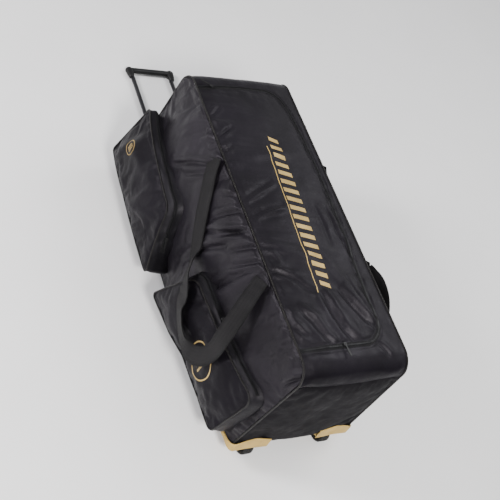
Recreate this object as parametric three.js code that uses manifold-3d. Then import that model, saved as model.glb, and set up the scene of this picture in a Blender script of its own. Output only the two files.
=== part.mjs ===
// Wheeled cricket kit bag lying on its base: a long cloth box with a U-shaped zipped lid, slanted
// side pockets, webbing carry handles, a pull-out trolley handle and two wheels in gold guards.
// Millimetres, +Z up. The origin is on the floor under the middle of the cloth body, +X points to
// the wheel end, -Y to the side that carries two pockets, and the lid is on top.
import * as THREE from 'three';
import Module from 'manifold-3d';
import { mergeVertices } from 'three/addons/utils/BufferGeometryUtils.js';

const manifold = await Module();
manifold.setup();

// Body of the bag
const bodyLength = 900;
const bodyHeight = 404;
const topWidth = 294;
const baseWidth = 361;
const clothWall = 2.2;
const boardWall = 3;
const endCorner = 45;
const lipHeight = 62;
const lipCorner = 12;
const wellLength = 60;
const wellSlope = 42;
const wellCorner = 16;
const lipOverlap = 8;
const endStep = 80;
const baseStep = 200;
const sideBulge = 36;
const topCrown = 16;
const endBulge = 9;
const foldHeight = 6;
const baseFlat = 0.93;
const seamGap = 0.35;
const pipingRadius = 2.4;

// Zipped lid
const zipWidth = 15;
const zipRise = 0.6;
const lidInset = 63;
const lidCorner = 58;
const endSeamDrop = 55;
const pullLength = 30;
const pullWidth = 5;
const pullWall = 1.4;
const sliderSize = 7;
const sliderHeight = 5;

// Side pockets
const pocketDepth = 58;
const pocketPiping = 1.9;
const pocketCrown = 7;
const pocketZipWidth = 15;
const pocketZipWall = 1.4;
const pocketPull = 24;
const zipMiddle = 0.55;
const zipReach = pocketZipWidth / pocketDepth / 2;
const pullSeat = 0.5;

// Webbing
const strapWidth = 48;
const strapLift = 38;
const strapWall = 2.6;
const strapSeat = 0.56;
const strapRefine = 2;
const haulLength = 208;
const haulWidth = 36;
const haulDrop = 66;
const haulBow = 17;

// Wheels and their guards
const wheelRadius = 28;
const wheelWidth = 26;
const wheelTrack = 232;
const wheelSetback = 13;
const hubRadius = 11;
const axleRadius = 4;
const runningGap = 0.35;
const guardWall = 3;
const guardBottom = 53;
const guardTop = 98;
const guardInner = 74;
const guardWrap = 44;

// Trolley handle
const tubeSpacing = 134;
const innerTubeRadius = 6.4;
const tubeWall = 1.4;
const outerTubeLength = 440;
const pullOut = 384;
const tubeOverlap = 62;
const gripReach = 84;
const gripRadius = 8.5;
const gripLeg = 30;
const collarLength = 34;
const collarWidth = 166;
const bracketLength = 24;

const halfLength = bodyLength / 2;
const edgeInset = pipingRadius + seamGap;
const seamFoot = pipingRadius;

// Colours and finishes
function finish(color, roughness, metalness = 0) {
  return new THREE.MeshStandardMaterial({ color, roughness, metalness });
}
const cloth = finish(0x2c2a2f, 0.55);
const heavyCloth = finish(0x2a282b, 0.7);
const webbing = finish(0x1b1a1d, 0.8);
const blackPlastic = finish(0x1a1a1c, 0.45);
const goldPlastic = finish(0xc9ad6f, 0.5);
const rubber = finish(0x242426, 0.85);
const darkMetal = finish(0x2e2d30, 0.4, 0.6);
const steel = finish(0x8a8a8c, 0.35, 0.9);

const bag = new THREE.Group();

function addMesh(name, geometry, material) {
  const mesh = new THREE.Mesh(geometry, material);
  mesh.name = name;
  bag.add(mesh);
  return mesh;
}

// Closed geometry from points and triangles, turned so that its faces point out
function closedGeometry(points, triangles) {
  let volume = 0;
  for (const [a, b, c] of triangles) {
    const [p, q, r] = [points[a], points[b], points[c]];
    volume += p[0] * (q[1] * r[2] - q[2] * r[1]);
    volume += p[1] * (q[2] * r[0] - q[0] * r[2]);
    volume += p[2] * (q[0] * r[1] - q[1] * r[0]);
  }
  const index = [];
  for (const [a, b, c] of triangles) {
    if (volume > 0) index.push(a, b, c);
    else index.push(a, c, b);
  }
  const geometry = new THREE.BufferGeometry();
  geometry.setAttribute('position', new THREE.Float32BufferAttribute(points.flat(), 3));
  geometry.setIndex(index);
  return geometry;
}

function quad(triangles, a, b, c, d) {
  triangles.push([a, b, c], [a, c, d]);
}

// Closed wall between an outer and an inner grid of points; rows may close into a ring
function wallFromGrids(outer, inner, ring = false) {
  const rows = outer.length;
  const columns = outer[0].length;
  const points = [...outer.flat(), ...inner.flat()];
  const triangles = [];
  const shift = rows * columns;
  const lastRow = ring ? rows : rows - 1;
  for (let i = 0; i < lastRow; i += 1) {
    const next = (i + 1) % rows;
    for (let j = 0; j < columns - 1; j += 1) {
      const [a, b] = [i * columns + j, next * columns + j];
      quad(triangles, a, b, b + 1, a + 1);
      quad(triangles, shift + a, shift + a + 1, shift + b + 1, shift + b);
    }
    for (const j of [0, columns - 1]) {
      const [a, b] = [i * columns + j, next * columns + j];
      if (j === 0) quad(triangles, a, shift + a, shift + b, b);
      else quad(triangles, a, b, shift + b, shift + a);
    }
  }
  if (!ring) {
    for (const i of [0, rows - 1]) {
      for (let j = 0; j < columns - 1; j += 1) {
        const a = i * columns + j;
        if (i === 0) quad(triangles, a, a + 1, shift + a + 1, shift + a);
        else quad(triangles, a, shift + a, shift + a + 1, a + 1);
      }
    }
  }
  return closedGeometry(points, triangles);
}

// Closed plate whose edge follows an outline: rings of points shrink towards one middle point
function plateFromOutline(outline, rings, surface, wallStep) {
  const count = outline.length;
  const middle = [0, 1].map((k) => outline.reduce((sum, p) => sum + p[k], 0) / count);
  const flat = [];
  for (let ring = 0; ring < rings; ring += 1) {
    const share = ring / rings;
    for (const p of outline) {
      flat.push([p[0] + (middle[0] - p[0]) * share, p[1] + (middle[1] - p[1]) * share]);
    }
  }
  flat.push(middle);
  const outer = flat.map(([x, z]) => surface(x, z));
  const inner = outer.map((p) => [p[0], p[1] + wallStep, p[2]]);
  const points = [...outer, ...inner];
  const shift = outer.length;
  const triangles = [];
  for (let i = 0; i < count; i += 1) {
    const next = (i + 1) % count;
    for (let ring = 0; ring < rings - 1; ring += 1) {
      const [a, b] = [ring * count + i, ring * count + next];
      quad(triangles, a, b, b + count, a + count);
      quad(triangles, shift + a, shift + a + count, shift + b + count, shift + b);
    }
    const [a, b] = [(rings - 1) * count + i, (rings - 1) * count + next];
    triangles.push([a, b, shift - 1], [shift + b, shift + a, 2 * shift - 1]);
    quad(triangles, i, shift + i, shift + next, next);
  }
  return closedGeometry(points, triangles);
}

// Round tube along a closed loop of points
function loopTube(loop, radius, sides) {
  const rings = loop.map((p, i) => {
    const before = new THREE.Vector3(...loop[(i + loop.length - 1) % loop.length]);
    const after = new THREE.Vector3(...loop[(i + 1) % loop.length]);
    const tangent = after.sub(before).normalize();
    const across = new THREE.Vector3(0, 1, 0);
    across.addScaledVector(tangent, -across.dot(tangent)).normalize();
    const up = new THREE.Vector3().crossVectors(tangent, across);
    return Array.from({ length: sides }, (_, k) => {
      const angle = (2 * Math.PI * k) / sides;
      const c = radius * Math.cos(angle);
      const s = radius * Math.sin(angle);
      return ['x', 'y', 'z'].map((axis, j) => p[j] + across[axis] * c + up[axis] * s);
    });
  });
  const triangles = [];
  for (let i = 0; i < rings.length; i += 1) {
    const next = (i + 1) % rings.length;
    for (let k = 0; k < sides; k += 1) {
      const other = (k + 1) % sides;
      quad(triangles, i * sides + k, next * sides + k, next * sides + other, i * sides + other);
    }
  }
  return closedGeometry(rings.flat(), triangles);
}

// Solid for cutting and joining, and back again
function toSolid(geometry) {
  const plain = geometry.clone();
  plain.deleteAttribute('normal');
  plain.deleteAttribute('uv');
  const merged = mergeVertices(plain, 1e-4);
  const vertProperties = new Float32Array(merged.attributes.position.array);
  const triVerts = new Uint32Array(merged.index.array);
  return new manifold.Manifold(new manifold.Mesh({ numProp: 3, vertProperties, triVerts }));
}

function fromSolid(solid) {
  const mesh = solid.getMesh();
  const geometry = new THREE.BufferGeometry();
  geometry.setAttribute('position', new THREE.BufferAttribute(new Float32Array(mesh.vertProperties), 3));
  geometry.setIndex(new THREE.BufferAttribute(new Uint32Array(mesh.triVerts), 1));
  return geometry;
}

function boxAt(low, high) {
  const size = high.map((value, k) => value - low[k]);
  const box = new THREE.BoxGeometry(...size);
  return box.translate(...low.map((value, k) => value + size[k] / 2));
}

// Closed path round a polygon with rounded corners: turns hold a corner and its radius, and
// straight runs are split so that no step is longer than maxStep
function roundedPath(turns, maxStep) {
  const count = turns.length;
  const path = [];
  const runs = [];
  for (let i = 0; i < count; i += 1) {
    const here = new THREE.Vector2(turns[i].x, turns[i].z);
    const before = new THREE.Vector2(turns[(i + count - 1) % count].x, turns[(i + count - 1) % count].z);
    const after = new THREE.Vector2(turns[(i + 1) % count].x, turns[(i + 1) % count].z);
    const inward = here.clone().sub(before).normalize();
    const outward = after.clone().sub(here).normalize();
    const turn = Math.atan2(inward.x * outward.y - inward.y * outward.x, inward.dot(outward));
    const reach = turns[i].r * Math.abs(Math.tan(turn / 2));
    const start = here.clone().addScaledVector(inward, -reach);
    const sideways = new THREE.Vector2(-inward.y, inward.x).multiplyScalar(Math.sign(turn) * turns[i].r);
    const centre = start.clone().add(sideways);
    const arc = [];
    for (let k = 0; k <= turns[i].steps; k += 1) {
      const angle = (turn * k) / turns[i].steps;
      arc.push(start.clone().rotateAround(centre, angle));
    }
    runs.push({ arc, outward });
  }
  for (let i = 0; i < count; i += 1) {
    const { arc } = runs[i];
    const nextStart = runs[(i + 1) % count].arc[0];
    const end = arc[arc.length - 1];
    path.push(...arc);
    const pieces = Math.max(1, Math.ceil(end.distanceTo(nextStart) / maxStep));
    for (let k = 1; k < pieces; k += 1) path.push(end.clone().lerp(nextStart, k / pieces));
  }
  return path.map((p) => [p.x, p.y]);
}

// Side outline of the body, seen from the near side: up the handle end, along the top, down the
// wheel end, under the lip over the wheels and back along the base
function bodyTurns(inset) {
  const well = Math.atan2(lipHeight - seamFoot, wellSlope);
  const ease = inset * Math.tan(well / 2);
  return [
    { x: -halfLength + inset, z: seamFoot + inset, r: endCorner - inset, steps: 4 },
    { x: -halfLength + inset, z: bodyHeight - inset, r: endCorner - inset, steps: 4 },
    { x: halfLength - inset, z: bodyHeight - inset, r: endCorner - inset, steps: 4 },
    { x: halfLength - inset, z: lipHeight + inset, r: lipCorner - inset, steps: 2 },
    { x: halfLength - wellLength - ease, z: lipHeight + inset, r: wellCorner + inset, steps: 2 },
    { x: halfLength - wellLength - wellSlope - ease, z: seamFoot + inset, r: wellCorner - inset, steps: 2 },
  ];
}

// Walk along the band that runs round the body between the two side panels
const bandPath = roundedPath(bodyTurns(0), bodyLength);
const bandLength = [0];
for (let i = 1; i <= bandPath.length; i += 1) {
  const [a, b] = [bandPath[i - 1], bandPath[i % bandPath.length]];
  bandLength.push(bandLength[i - 1] + Math.hypot(b[0] - a[0], b[1] - a[1]));
}

function bandNormal(i) {
  const count = bandPath.length;
  const before = bandPath[(i + count - 1) % count];
  const after = bandPath[(i + 1) % count];
  const length = Math.hypot(after[0] - before[0], after[1] - before[1]);
  return [-(after[1] - before[1]) / length, (after[0] - before[0]) / length];
}

function bandAt(s) {
  const total = bandLength[bandPath.length];
  const along = ((s % total) + total) % total;
  let i = 0;
  while (bandLength[i + 1] < along) i += 1;
  const share = (along - bandLength[i]) / (bandLength[i + 1] - bandLength[i]);
  const [a, b] = [bandPath[i], bandPath[(i + 1) % bandPath.length]];
  const [m, n] = [bandNormal(i), bandNormal((i + 1) % bandPath.length)];
  const nx = m[0] + (n[0] - m[0]) * share;
  const nz = m[1] + (n[1] - m[1]) * share;
  const size = Math.hypot(nx, nz);
  const x = a[0] + (b[0] - a[0]) * share;
  const z = a[1] + (b[1] - a[1]) * share;
  return { x, z, nx: nx / size, nz: nz / size };
}

// Distances along the band of named places: five path points lie on the first corner's arc
const arcPoints = 5;
const sHandleFoot = bandLength[arcPoints - 1];
const sTopStart = bandLength[2 * arcPoints - 1];
const sWheelTop = bandLength[3 * arcPoints - 1];
const onTop = (x) => sTopStart + (x + halfLength - endCorner);
const onHandleEnd = (z) => sHandleFoot + (z - seamFoot - endCorner);
const onWheelEnd = (z) => sWheelTop + (bodyHeight - endCorner - z);

const halfWidth = (z) => (baseWidth + (topWidth - baseWidth) * (z / bodyHeight)) / 2;

// Folds are rounded ridges: place and length are shares of the panel, height of the fold height
function foldSum(folds, u, v, spanU, spanV) {
  let sum = 0;
  for (const fold of folds) {
    const turn = THREE.MathUtils.degToRad(fold.angle);
    const du = (u - fold.u) * spanU;
    const dv = (v - fold.v) * spanV;
    const along = (du * Math.cos(turn) + dv * Math.sin(turn)) / (fold.length * spanV);
    const across = (dv * Math.cos(turn) - du * Math.sin(turn)) / (fold.width * spanV);
    if (Math.abs(along) < 1) sum += fold.height * (1 - along * along) * Math.exp(-across * across);
  }
  return sum * foldHeight;
}

// Lid folds: u runs along the body and v across it, both from -1 to 1
const lidFolds = [
  { u: 0.62, v: 0.36, angle: 28, length: 0.9, width: 0.1, height: 1.0 },
  { u: 0.7, v: 0.02, angle: 24, length: 0.7, width: 0.09, height: 0.8 },
  { u: 0.5, v: 0.3, angle: 22, length: 0.8, width: 0.09, height: 0.7 },
  { u: 0.66, v: -0.62, angle: 62, length: 0.4, width: 0.1, height: 0.8 },
  { u: 0.3, v: -0.5, angle: 68, length: 0.5, width: 0.12, height: 0.8 },
  { u: 0.02, v: -0.62, angle: 80, length: 0.4, width: 0.1, height: 0.7 },
  { u: -0.34, v: -0.2, angle: 96, length: 0.9, width: 0.1, height: 0.6 },
];

// Side folds: u runs along the body, v from the base at -1 to the top at 1
const sideFolds = [
  { u: -0.62, v: 0.52, angle: -58, length: 0.36, width: 0.15, height: 0.9 },
  { u: -0.46, v: 0.44, angle: -46, length: 0.4, width: 0.15, height: 1.0 },
  { u: -0.12, v: 0.5, angle: -72, length: 0.34, width: 0.15, height: 0.7 },
  { u: 0.06, v: 0.52, angle: -78, length: 0.36, width: 0.15, height: 0.8 },
  { u: 0.2, v: 0.56, angle: -82, length: 0.3, width: 0.15, height: 0.8 },
  { u: 0.62, v: 0.56, angle: -104, length: 0.32, width: 0.15, height: 0.8 },
  { u: 0.76, v: 0.5, angle: -112, length: 0.34, width: 0.15, height: 0.7 },
];

function bandSwell(p, v) {
  const across = 1 - v * v;
  const u = p.x / halfLength;
  const w = (2 * p.z) / bodyHeight - 1;
  const top = Math.max(p.nz, 0) ** 2 * (1 - Math.abs(u) ** 6) * topCrown;
  const end = p.nx ** 2 * Math.max(0, 1 - w ** 4) * endBulge;
  const flat = p.nz > 0.99 ? Math.min(1, 4 * (1 - Math.abs(v))) : 0;
  const folds = foldSum(lidFolds, u, v, halfLength, topWidth / 2) * flat;
  const low = Math.max(0, -p.nz) * THREE.MathUtils.clamp(1 - (p.z - seamFoot) / lipHeight, 0, 1) ** 4;
  const base = seamFoot * low * Math.min(1, (1 - Math.abs(v)) / (1 - baseFlat));
  return across * (top + end) + folds + base;
}

// Point of the band: v runs across it from -1 to 1, out is the distance off the cloth's face
function bandPoint(s, v, out) {
  const p = bandAt(s);
  const lift = bandSwell(p, v) + out;
  return [p.x + p.nx * lift, v * (halfWidth(p.z) - edgeInset), p.z + p.nz * lift];
}

function stations(from, to, maxStep) {
  const marks = bandLength.filter((s) => s > from + 0.5 && s < to - 0.5);
  const ends = [from, ...marks, to];
  const list = [from];
  for (let i = 1; i < ends.length; i += 1) {
    const pieces = Math.max(1, Math.ceil((ends[i] - ends[i - 1]) / maxStep));
    for (let k = 1; k <= pieces; k += 1) list.push(ends[i - 1] + ((ends[i] - ends[i - 1]) * k) / pieces);
  }
  return list;
}

const evenly = (columns) => Array.from({ length: columns + 1 }, (_, j) => (2 * j) / columns - 1);

function bandPanel(from, to, maxStep, across, wall) {
  const places = stations(from, to, maxStep);
  const row = (s, out) => across.map((v) => bandPoint(s, v, out));
  return wallFromGrids(places.map((s) => row(s, 0)), places.map((s) => row(s, -wall)));
}

// Side panels
const sideRise = (z) => Math.max(0, Math.sin((Math.PI * z) / bodyHeight)) ** 0.75;

function sideSmooth(x, z) {
  return halfWidth(z) + sideBulge * sideRise(z) * Math.max(0, 1 - (x / halfLength) ** 4);
}

function sideSurface(x, z) {
  const v = (2 * z) / bodyHeight - 1;
  const folds = foldSum(sideFolds, x / halfLength, v, halfLength, bodyHeight / 2);
  return sideSmooth(x, z) + folds * sideRise(z);
}

function levelsAt(path, x) {
  const hits = [];
  for (let i = 0; i < path.length; i += 1) {
    const [a, b] = [path[i], path[(i + 1) % path.length]];
    if (Math.abs(b[0] - a[0]) < 1e-6) continue;
    const share = (x - a[0]) / (b[0] - a[0]);
    if (share > -1e-7 && share < 1 + 1e-7) hits.push(a[1] + (b[1] - a[1]) * share);
  }
  return [Math.min(...hits), Math.max(...hits)];
}

function columnPlaces(path, maxStep) {
  const sorted = path.map((p) => p[0]).sort((a, b) => a - b);
  const marks = sorted.filter((x, i) => i === 0 || x - sorted[i - 1] > 0.01);
  const list = [marks[0]];
  for (let i = 1; i < marks.length; i += 1) {
    const pieces = Math.max(1, Math.ceil((marks[i] - marks[i - 1]) / maxStep));
    for (let k = 1; k <= pieces; k += 1) list.push(marks[i - 1] + ((marks[i] - marks[i - 1]) * k) / pieces);
  }
  return list;
}

const sideRows = 7;
const sideStep = 52;
const sideEdge = roundedPath(bodyTurns(edgeInset), bodyLength);
const sideColumns = columnPlaces(sideEdge, sideStep).map((x) => {
  const [low, high] = levelsAt(sideEdge, x);
  return Array.from({ length: sideRows + 1 }, (_, j) => [x, low + ((high - low) * j) / sideRows]);
});

function sidePanel(side) {
  const point = ([x, z], out) => [x, side * (sideSurface(x, z) + out), z];
  const grid = (out) => sideColumns.map((column) => column.map((p) => point(p, out)));
  return wallFromGrids(grid(0), grid(-clothWall));
}

// Half width of the side panel as built, on its flat triangles
function sideFacet(x, z) {
  let i = 0;
  while (i < sideColumns.length - 2 && sideColumns[i + 1][0][0] < x) i += 1;
  const [a, b] = [sideColumns[i], sideColumns[i + 1]];
  const s = THREE.MathUtils.clamp((x - a[0][0]) / (b[0][0] - a[0][0]), 0, 1);
  const level = (j) => a[j][1] + (b[j][1] - a[j][1]) * s;
  let j = 0;
  while (j < sideRows - 1 && level(j + 1) < z) j += 1;
  const t = THREE.MathUtils.clamp((z - level(j)) / (level(j + 1) - level(j)), 0, 1);
  const [aj, bj, bk, ak] = [a[j], b[j], b[j + 1], a[j + 1]].map((p) => sideSurface(...p));
  return s > t ? aj + (bj - aj) * s + (bk - bj) * t : aj + (bk - ak) * s + (ak - aj) * t;
}

// Levels at which a closed seam rests on the side panel without cutting into it
function seatLevels(path) {
  const levels = path.map(([x, z]) => sideFacet(x, z) + seamGap);
  path.forEach((p, i) => {
    const next = (i + 1) % path.length;
    let rise = 0;
    for (const t of [0.2, 0.4, 0.6, 0.8]) {
      const [x, z] = [0, 1].map((k) => p[k] + (path[next][k] - p[k]) * t);
      rise = Math.max(rise, sideFacet(x, z) + seamGap - (levels[i] + (levels[next] - levels[i]) * t));
    }
    levels[i] += rise;
    levels[next] += rise;
  });
  return levels;
}

function bodyPiping(side) {
  const loop = roundedPath(bodyTurns(0), bodyLength).map(([x, z]) => [x, side * halfWidth(z), z]);
  return loopTube(loop, pipingRadius, 6);
}

// Lid outline in plan: x along the body and y across, from the near seam round the far corners
const farLine = [
  { x: -1, y: 0.7 },
  { x: -0.6, y: 0.79 },
  { x: -0.2, y: 0.81 },
  { x: 0.2, y: 0.75 },
  { x: 0.6, y: 0.66 },
  { x: 1, y: 0.62 },
];
const lidHalf = halfLength - lidInset;
const nearEdge = halfWidth(bodyHeight) - edgeInset;

function farLineAt(x) {
  const u = THREE.MathUtils.clamp(x / lidHalf, -1, 1);
  let i = 0;
  while (farLine[i + 1].x < u) i += 1;
  const share = (u - farLine[i].x) / (farLine[i + 1].x - farLine[i].x);
  return (farLine[i].y + (farLine[i + 1].y - farLine[i].y) * share) * halfWidth(bodyHeight);
}

// The zip's middle line, moved outwards by a distance: a list of [x, y]
function zipLine(out) {
  const steps = 5;
  const reach = lidHalf + out;
  const line = [];
  const down = 3;
  for (const end of [-1, 1]) {
    const bend = [];
    const yEnd = farLineAt(end * lidHalf) - lidCorner;
    for (let k = 0; k < down; k += 1) bend.push([end * reach, -nearEdge + ((yEnd + nearEdge) * k) / down]);
    for (let k = 0; k <= steps; k += 1) {
      const angle = (Math.PI / 2) * (k / steps);
      const r = lidCorner + out;
      const x = end * (lidHalf - lidCorner + r * Math.cos(angle));
      bend.push([x, yEnd + r * Math.sin(angle)]);
    }
    if (end < 0) line.push(...bend);
    else {
      const span = lidHalf - lidCorner;
      const pieces = 12;
      for (let k = 1; k < pieces; k += 1) {
        const x = -span + (2 * span * k) / pieces;
        line.push([x, farLineAt(x) + out]);
      }
      line.push(...bend.reverse());
    }
  }
  return line;
}

function topPoint([x, y], out) {
  const s = onTop(x);
  return bandPoint(s, y / (halfWidth(bandAt(s).z) - edgeInset), out);
}

function lidPanel() {
  const edge = zipLine(-zipWidth / 2 - seamGap);
  const rings = 5;
  const spine = lidHalf * 0.82;
  const grid = (out) => edge.map(([x, y], i) => {
    const foot = -spine + (2 * spine * i) / (edge.length - 1);
    return Array.from({ length: rings + 1 }, (_, k) => {
      const share = k / rings;
      return topPoint([x + (foot - x) * share, y + (-nearEdge - y) * share], out);
    });
  });
  return wallFromGrids(grid(0), grid(-clothWall));
}

function lidZip() {
  const lines = [zipLine(-zipWidth / 2), zipLine(0), zipLine(zipWidth / 2)];
  const grid = (out) => lines[0].map((_, i) => lines.map((line) => topPoint(line[i], out)));
  return wallFromGrids(grid(zipRise), grid(zipRise - clothWall));
}

// Cloth outside the zip: both end strips and the far strip in one piece, from seam to seam
function topGusset() {
  const inner = zipLine(zipWidth / 2 + seamGap);
  const sFrom = onHandleEnd(bodyHeight - endSeamDrop);
  const sTo = onWheelEnd(bodyHeight - endSeamDrop);
  const sInner = inner.map(([x]) => onTop(x));
  const vInner = inner.map(([x, y]) => y / nearEdge);
  const far = farLineAt(0) / nearEdge;
  const columns = 4;
  const corner = 8;
  const grid = (out) => inner.map((_, i) => {
    let [s, v] = [0, 1];
    const last = inner.length - 1;
    const fromEnd = Math.min(i, last - i);
    if (fromEnd < corner) {
      s = i < corner ? sFrom : sTo;
      v = -1 + (2 * fromEnd) / corner;
    } else {
      const share = (i - corner) / (last - 2 * corner);
      s = sFrom + (sTo - sFrom) * share;
      v = 1;
    }
    return Array.from({ length: columns + 1 }, (_, k) => {
      const share = k / columns;
      return bandPoint(sInner[i] + (s - sInner[i]) * share, vInner[i] + (v - vInner[i]) * share, out);
    });
  });
  return wallFromGrids(grid(0), grid(-clothWall));
}

// Zip slider with its flat pull: at is the foot of the slider, along the way the pull points and
// up the way off the cloth
function zipPull(at, along, up, length) {
  const half = sliderSize * 0.6;
  const slider = boxAt([-sliderSize, -half, 0], [half, half, sliderHeight]);
  const tab = boxAt([0, -pullWidth / 2, sliderHeight - pullWall], [length, pullWidth / 2, sliderHeight]);
  const x = along.clone().addScaledVector(up, -along.dot(up)).normalize();
  const y = new THREE.Vector3().crossVectors(up, x);
  const frame = new THREE.Matrix4().makeBasis(x, y, up);
  const geometry = fromSolid(toSolid(slider).add(toSolid(tab)));
  return geometry.applyMatrix4(frame.setPosition(...at));
}

// Slider on the lid's zip: share runs along the zip from the handle end's near corner
function lidPull(share, turn) {
  const line = zipLine(0);
  const place = share * (line.length - 1);
  const i = Math.min(Math.floor(place), line.length - 2);
  const mix = (k) => line[i][k] + (line[i + 1][k] - line[i][k]) * (place - i);
  const at = topPoint([mix(0), mix(1)], zipRise + 1.8 * pullSeat);
  const along = new THREE.Vector3(Math.cos(turn), Math.sin(turn), 0);
  return zipPull(at, along, new THREE.Vector3(0, 0, 1), pullLength);
}

// Handle end: the lower panel is cut away round the trolley collar
const tubeRadius = innerTubeRadius + runningGap + tubeWall;
const tubeHeight = boardWall + seamGap + tubeRadius;
const collarHeight = 2 * tubeRadius + 3;
const collarLow = tubeHeight - collarHeight / 2;
const collarFace = -halfLength + 2;

function handleEndPanel() {
  const seamZ = bodyHeight - endSeamDrop - seamGap;
  const panel = bandPanel(0, onHandleEnd(seamZ), endStep, evenly(6), clothWall);
  const reach = collarWidth / 2 + seamGap;
  const cut = boxAt(
    [-bodyLength, -reach, collarLow - seamGap],
    [collarFace + collarLength + 4 * clothWall, reach, collarLow + collarHeight + seamGap],
  );
  return fromSolid(toSolid(panel).subtract(toSolid(cut)));
}

// Side pockets: corners in shares of half the body's length and of its height, with radii in
// shares of the pocket's depth; reach gives the depth along the top and bottom edges; zip gives the
// places round the gusset where the zip starts and ends and where its pull is
const pocketShapes = {
  handle_end: {
    seam: [
      { x: -0.978, z: 0.13, r: 0.2 },
      { x: -0.978, z: 0.6, r: 0.4 },
      { x: -0.27, z: 0.615, r: 0.8 },
      { x: -0.07, z: 0.125, r: 0.25 },
    ],
    front: [
      { x: -1.004, z: 0.178, r: 0.16 },
      { x: -1.004, z: 0.615, r: 0.24 },
      { x: -0.285, z: 0.56, r: 0.8 },
      { x: -0.07, z: 0.165, r: 0.2 },
    ],
    reach: [
      { x: 0, top: 0.7, bottom: 1.24 },
      { x: 0.5, top: 0.62, bottom: 1.12 },
      { x: 1, top: 0.62, bottom: 1.16 },
    ],
    zip: { from: 7, to: 20, pull: 19 },
  },
  wheel_end: {
    seam: [
      { x: 0.05, z: 0.13, r: 0.3 },
      { x: 0.15, z: 0.635, r: 0.8 },
      { x: 0.965, z: 0.65, r: 0.5 },
      { x: 0.94, z: 0.178, r: 0.3 },
    ],
    front: [
      { x: 0.058, z: 0.178, r: 0.2 },
      { x: 0.205, z: 0.612, r: 0.7 },
      { x: 0.942, z: 0.62, r: 0.5 },
      { x: 0.925, z: 0.19, r: 0.35 },
    ],
    reach: [
      { x: 0, top: 0.7, bottom: 1.14 },
      { x: 0.3, top: 0.62, bottom: 0.92 },
      { x: 0.46, top: 0.58, bottom: 0.66 },
      { x: 0.75, top: 0.54, bottom: 0.66 },
      { x: 1, top: 0.52, bottom: 0.84 },
    ],
    zip: { from: 7, to: 16, pull: 11 },
  },
};

const tableAt = (rows, x, column) => {
  const u = THREE.MathUtils.clamp(x, rows[0].x, rows[rows.length - 1].x);
  let i = 0;
  while (rows[i + 1].x < u) i += 1;
  const share = (u - rows[i].x) / (rows[i + 1].x - rows[i].x);
  return rows[i][column] + (rows[i + 1][column] - rows[i][column]) * share;
};

function pocketTurns(corners, inset) {
  const points = corners.map((c) => new THREE.Vector2(c.x * halfLength, c.z * bodyHeight));
  return corners.map((c, i) => {
    const before = points[(i + 3) % 4];
    const after = points[(i + 1) % 4];
    const a = points[i].clone().sub(before).normalize();
    const b = after.clone().sub(points[i]).normalize();
    const inward = new THREE.Vector2(a.y + b.y, -a.x - b.x).normalize();
    const reach = inset / Math.abs(inward.dot(new THREE.Vector2(b.y, -b.x)));
    const at = points[i].clone().addScaledVector(inward, reach);
    return { x: at.x, z: at.y, r: c.r * pocketDepth - inset, steps: 3 };
  });
}

function pocketFace(shape, x, z) {
  const [low, high] = [shape.front[0], shape.front[2]];
  const u = (x / halfLength - low.x) / (high.x - low.x);
  const v = THREE.MathUtils.clamp((z / bodyHeight - low.z) / (high.z - low.z), 0, 1);
  const bottom = tableAt(shape.reach, u, 'bottom');
  const top = tableAt(shape.reach, u, 'top');
  const crown = pocketCrown * Math.max(0, 1 - (2 * v - 1) ** 2) * Math.max(0, 1 - (2 * u - 1) ** 4);
  return sideSmooth(x, z) + pocketDepth * (bottom + (top - bottom) * v) + crown;
}

function evenPath(turns, pieces) {
  const bare = roundedPath(turns, bodyLength);
  const steps = turns[0].steps + 1;
  const path = [];
  for (let i = 0; i < bare.length; i += 1) {
    path.push(bare[i]);
    if ((i + 1) % steps !== 0) continue;
    const next = bare[(i + 1) % bare.length];
    const count = pieces[(i + 1) / steps - 1];
    for (let k = 1; k < count; k += 1) {
      path.push([0, 1].map((c) => bare[i][c] + ((next[c] - bare[i][c]) * k) / count));
    }
  }
  return path;
}

function inwardNormals(path) {
  return path.map((_, i) => {
    const before = path[(i + path.length - 1) % path.length];
    const after = path[(i + 1) % path.length];
    const length = Math.hypot(after[0] - before[0], after[1] - before[1]);
    return [(after[1] - before[1]) / length, -(after[0] - before[0]) / length];
  });
}

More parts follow.
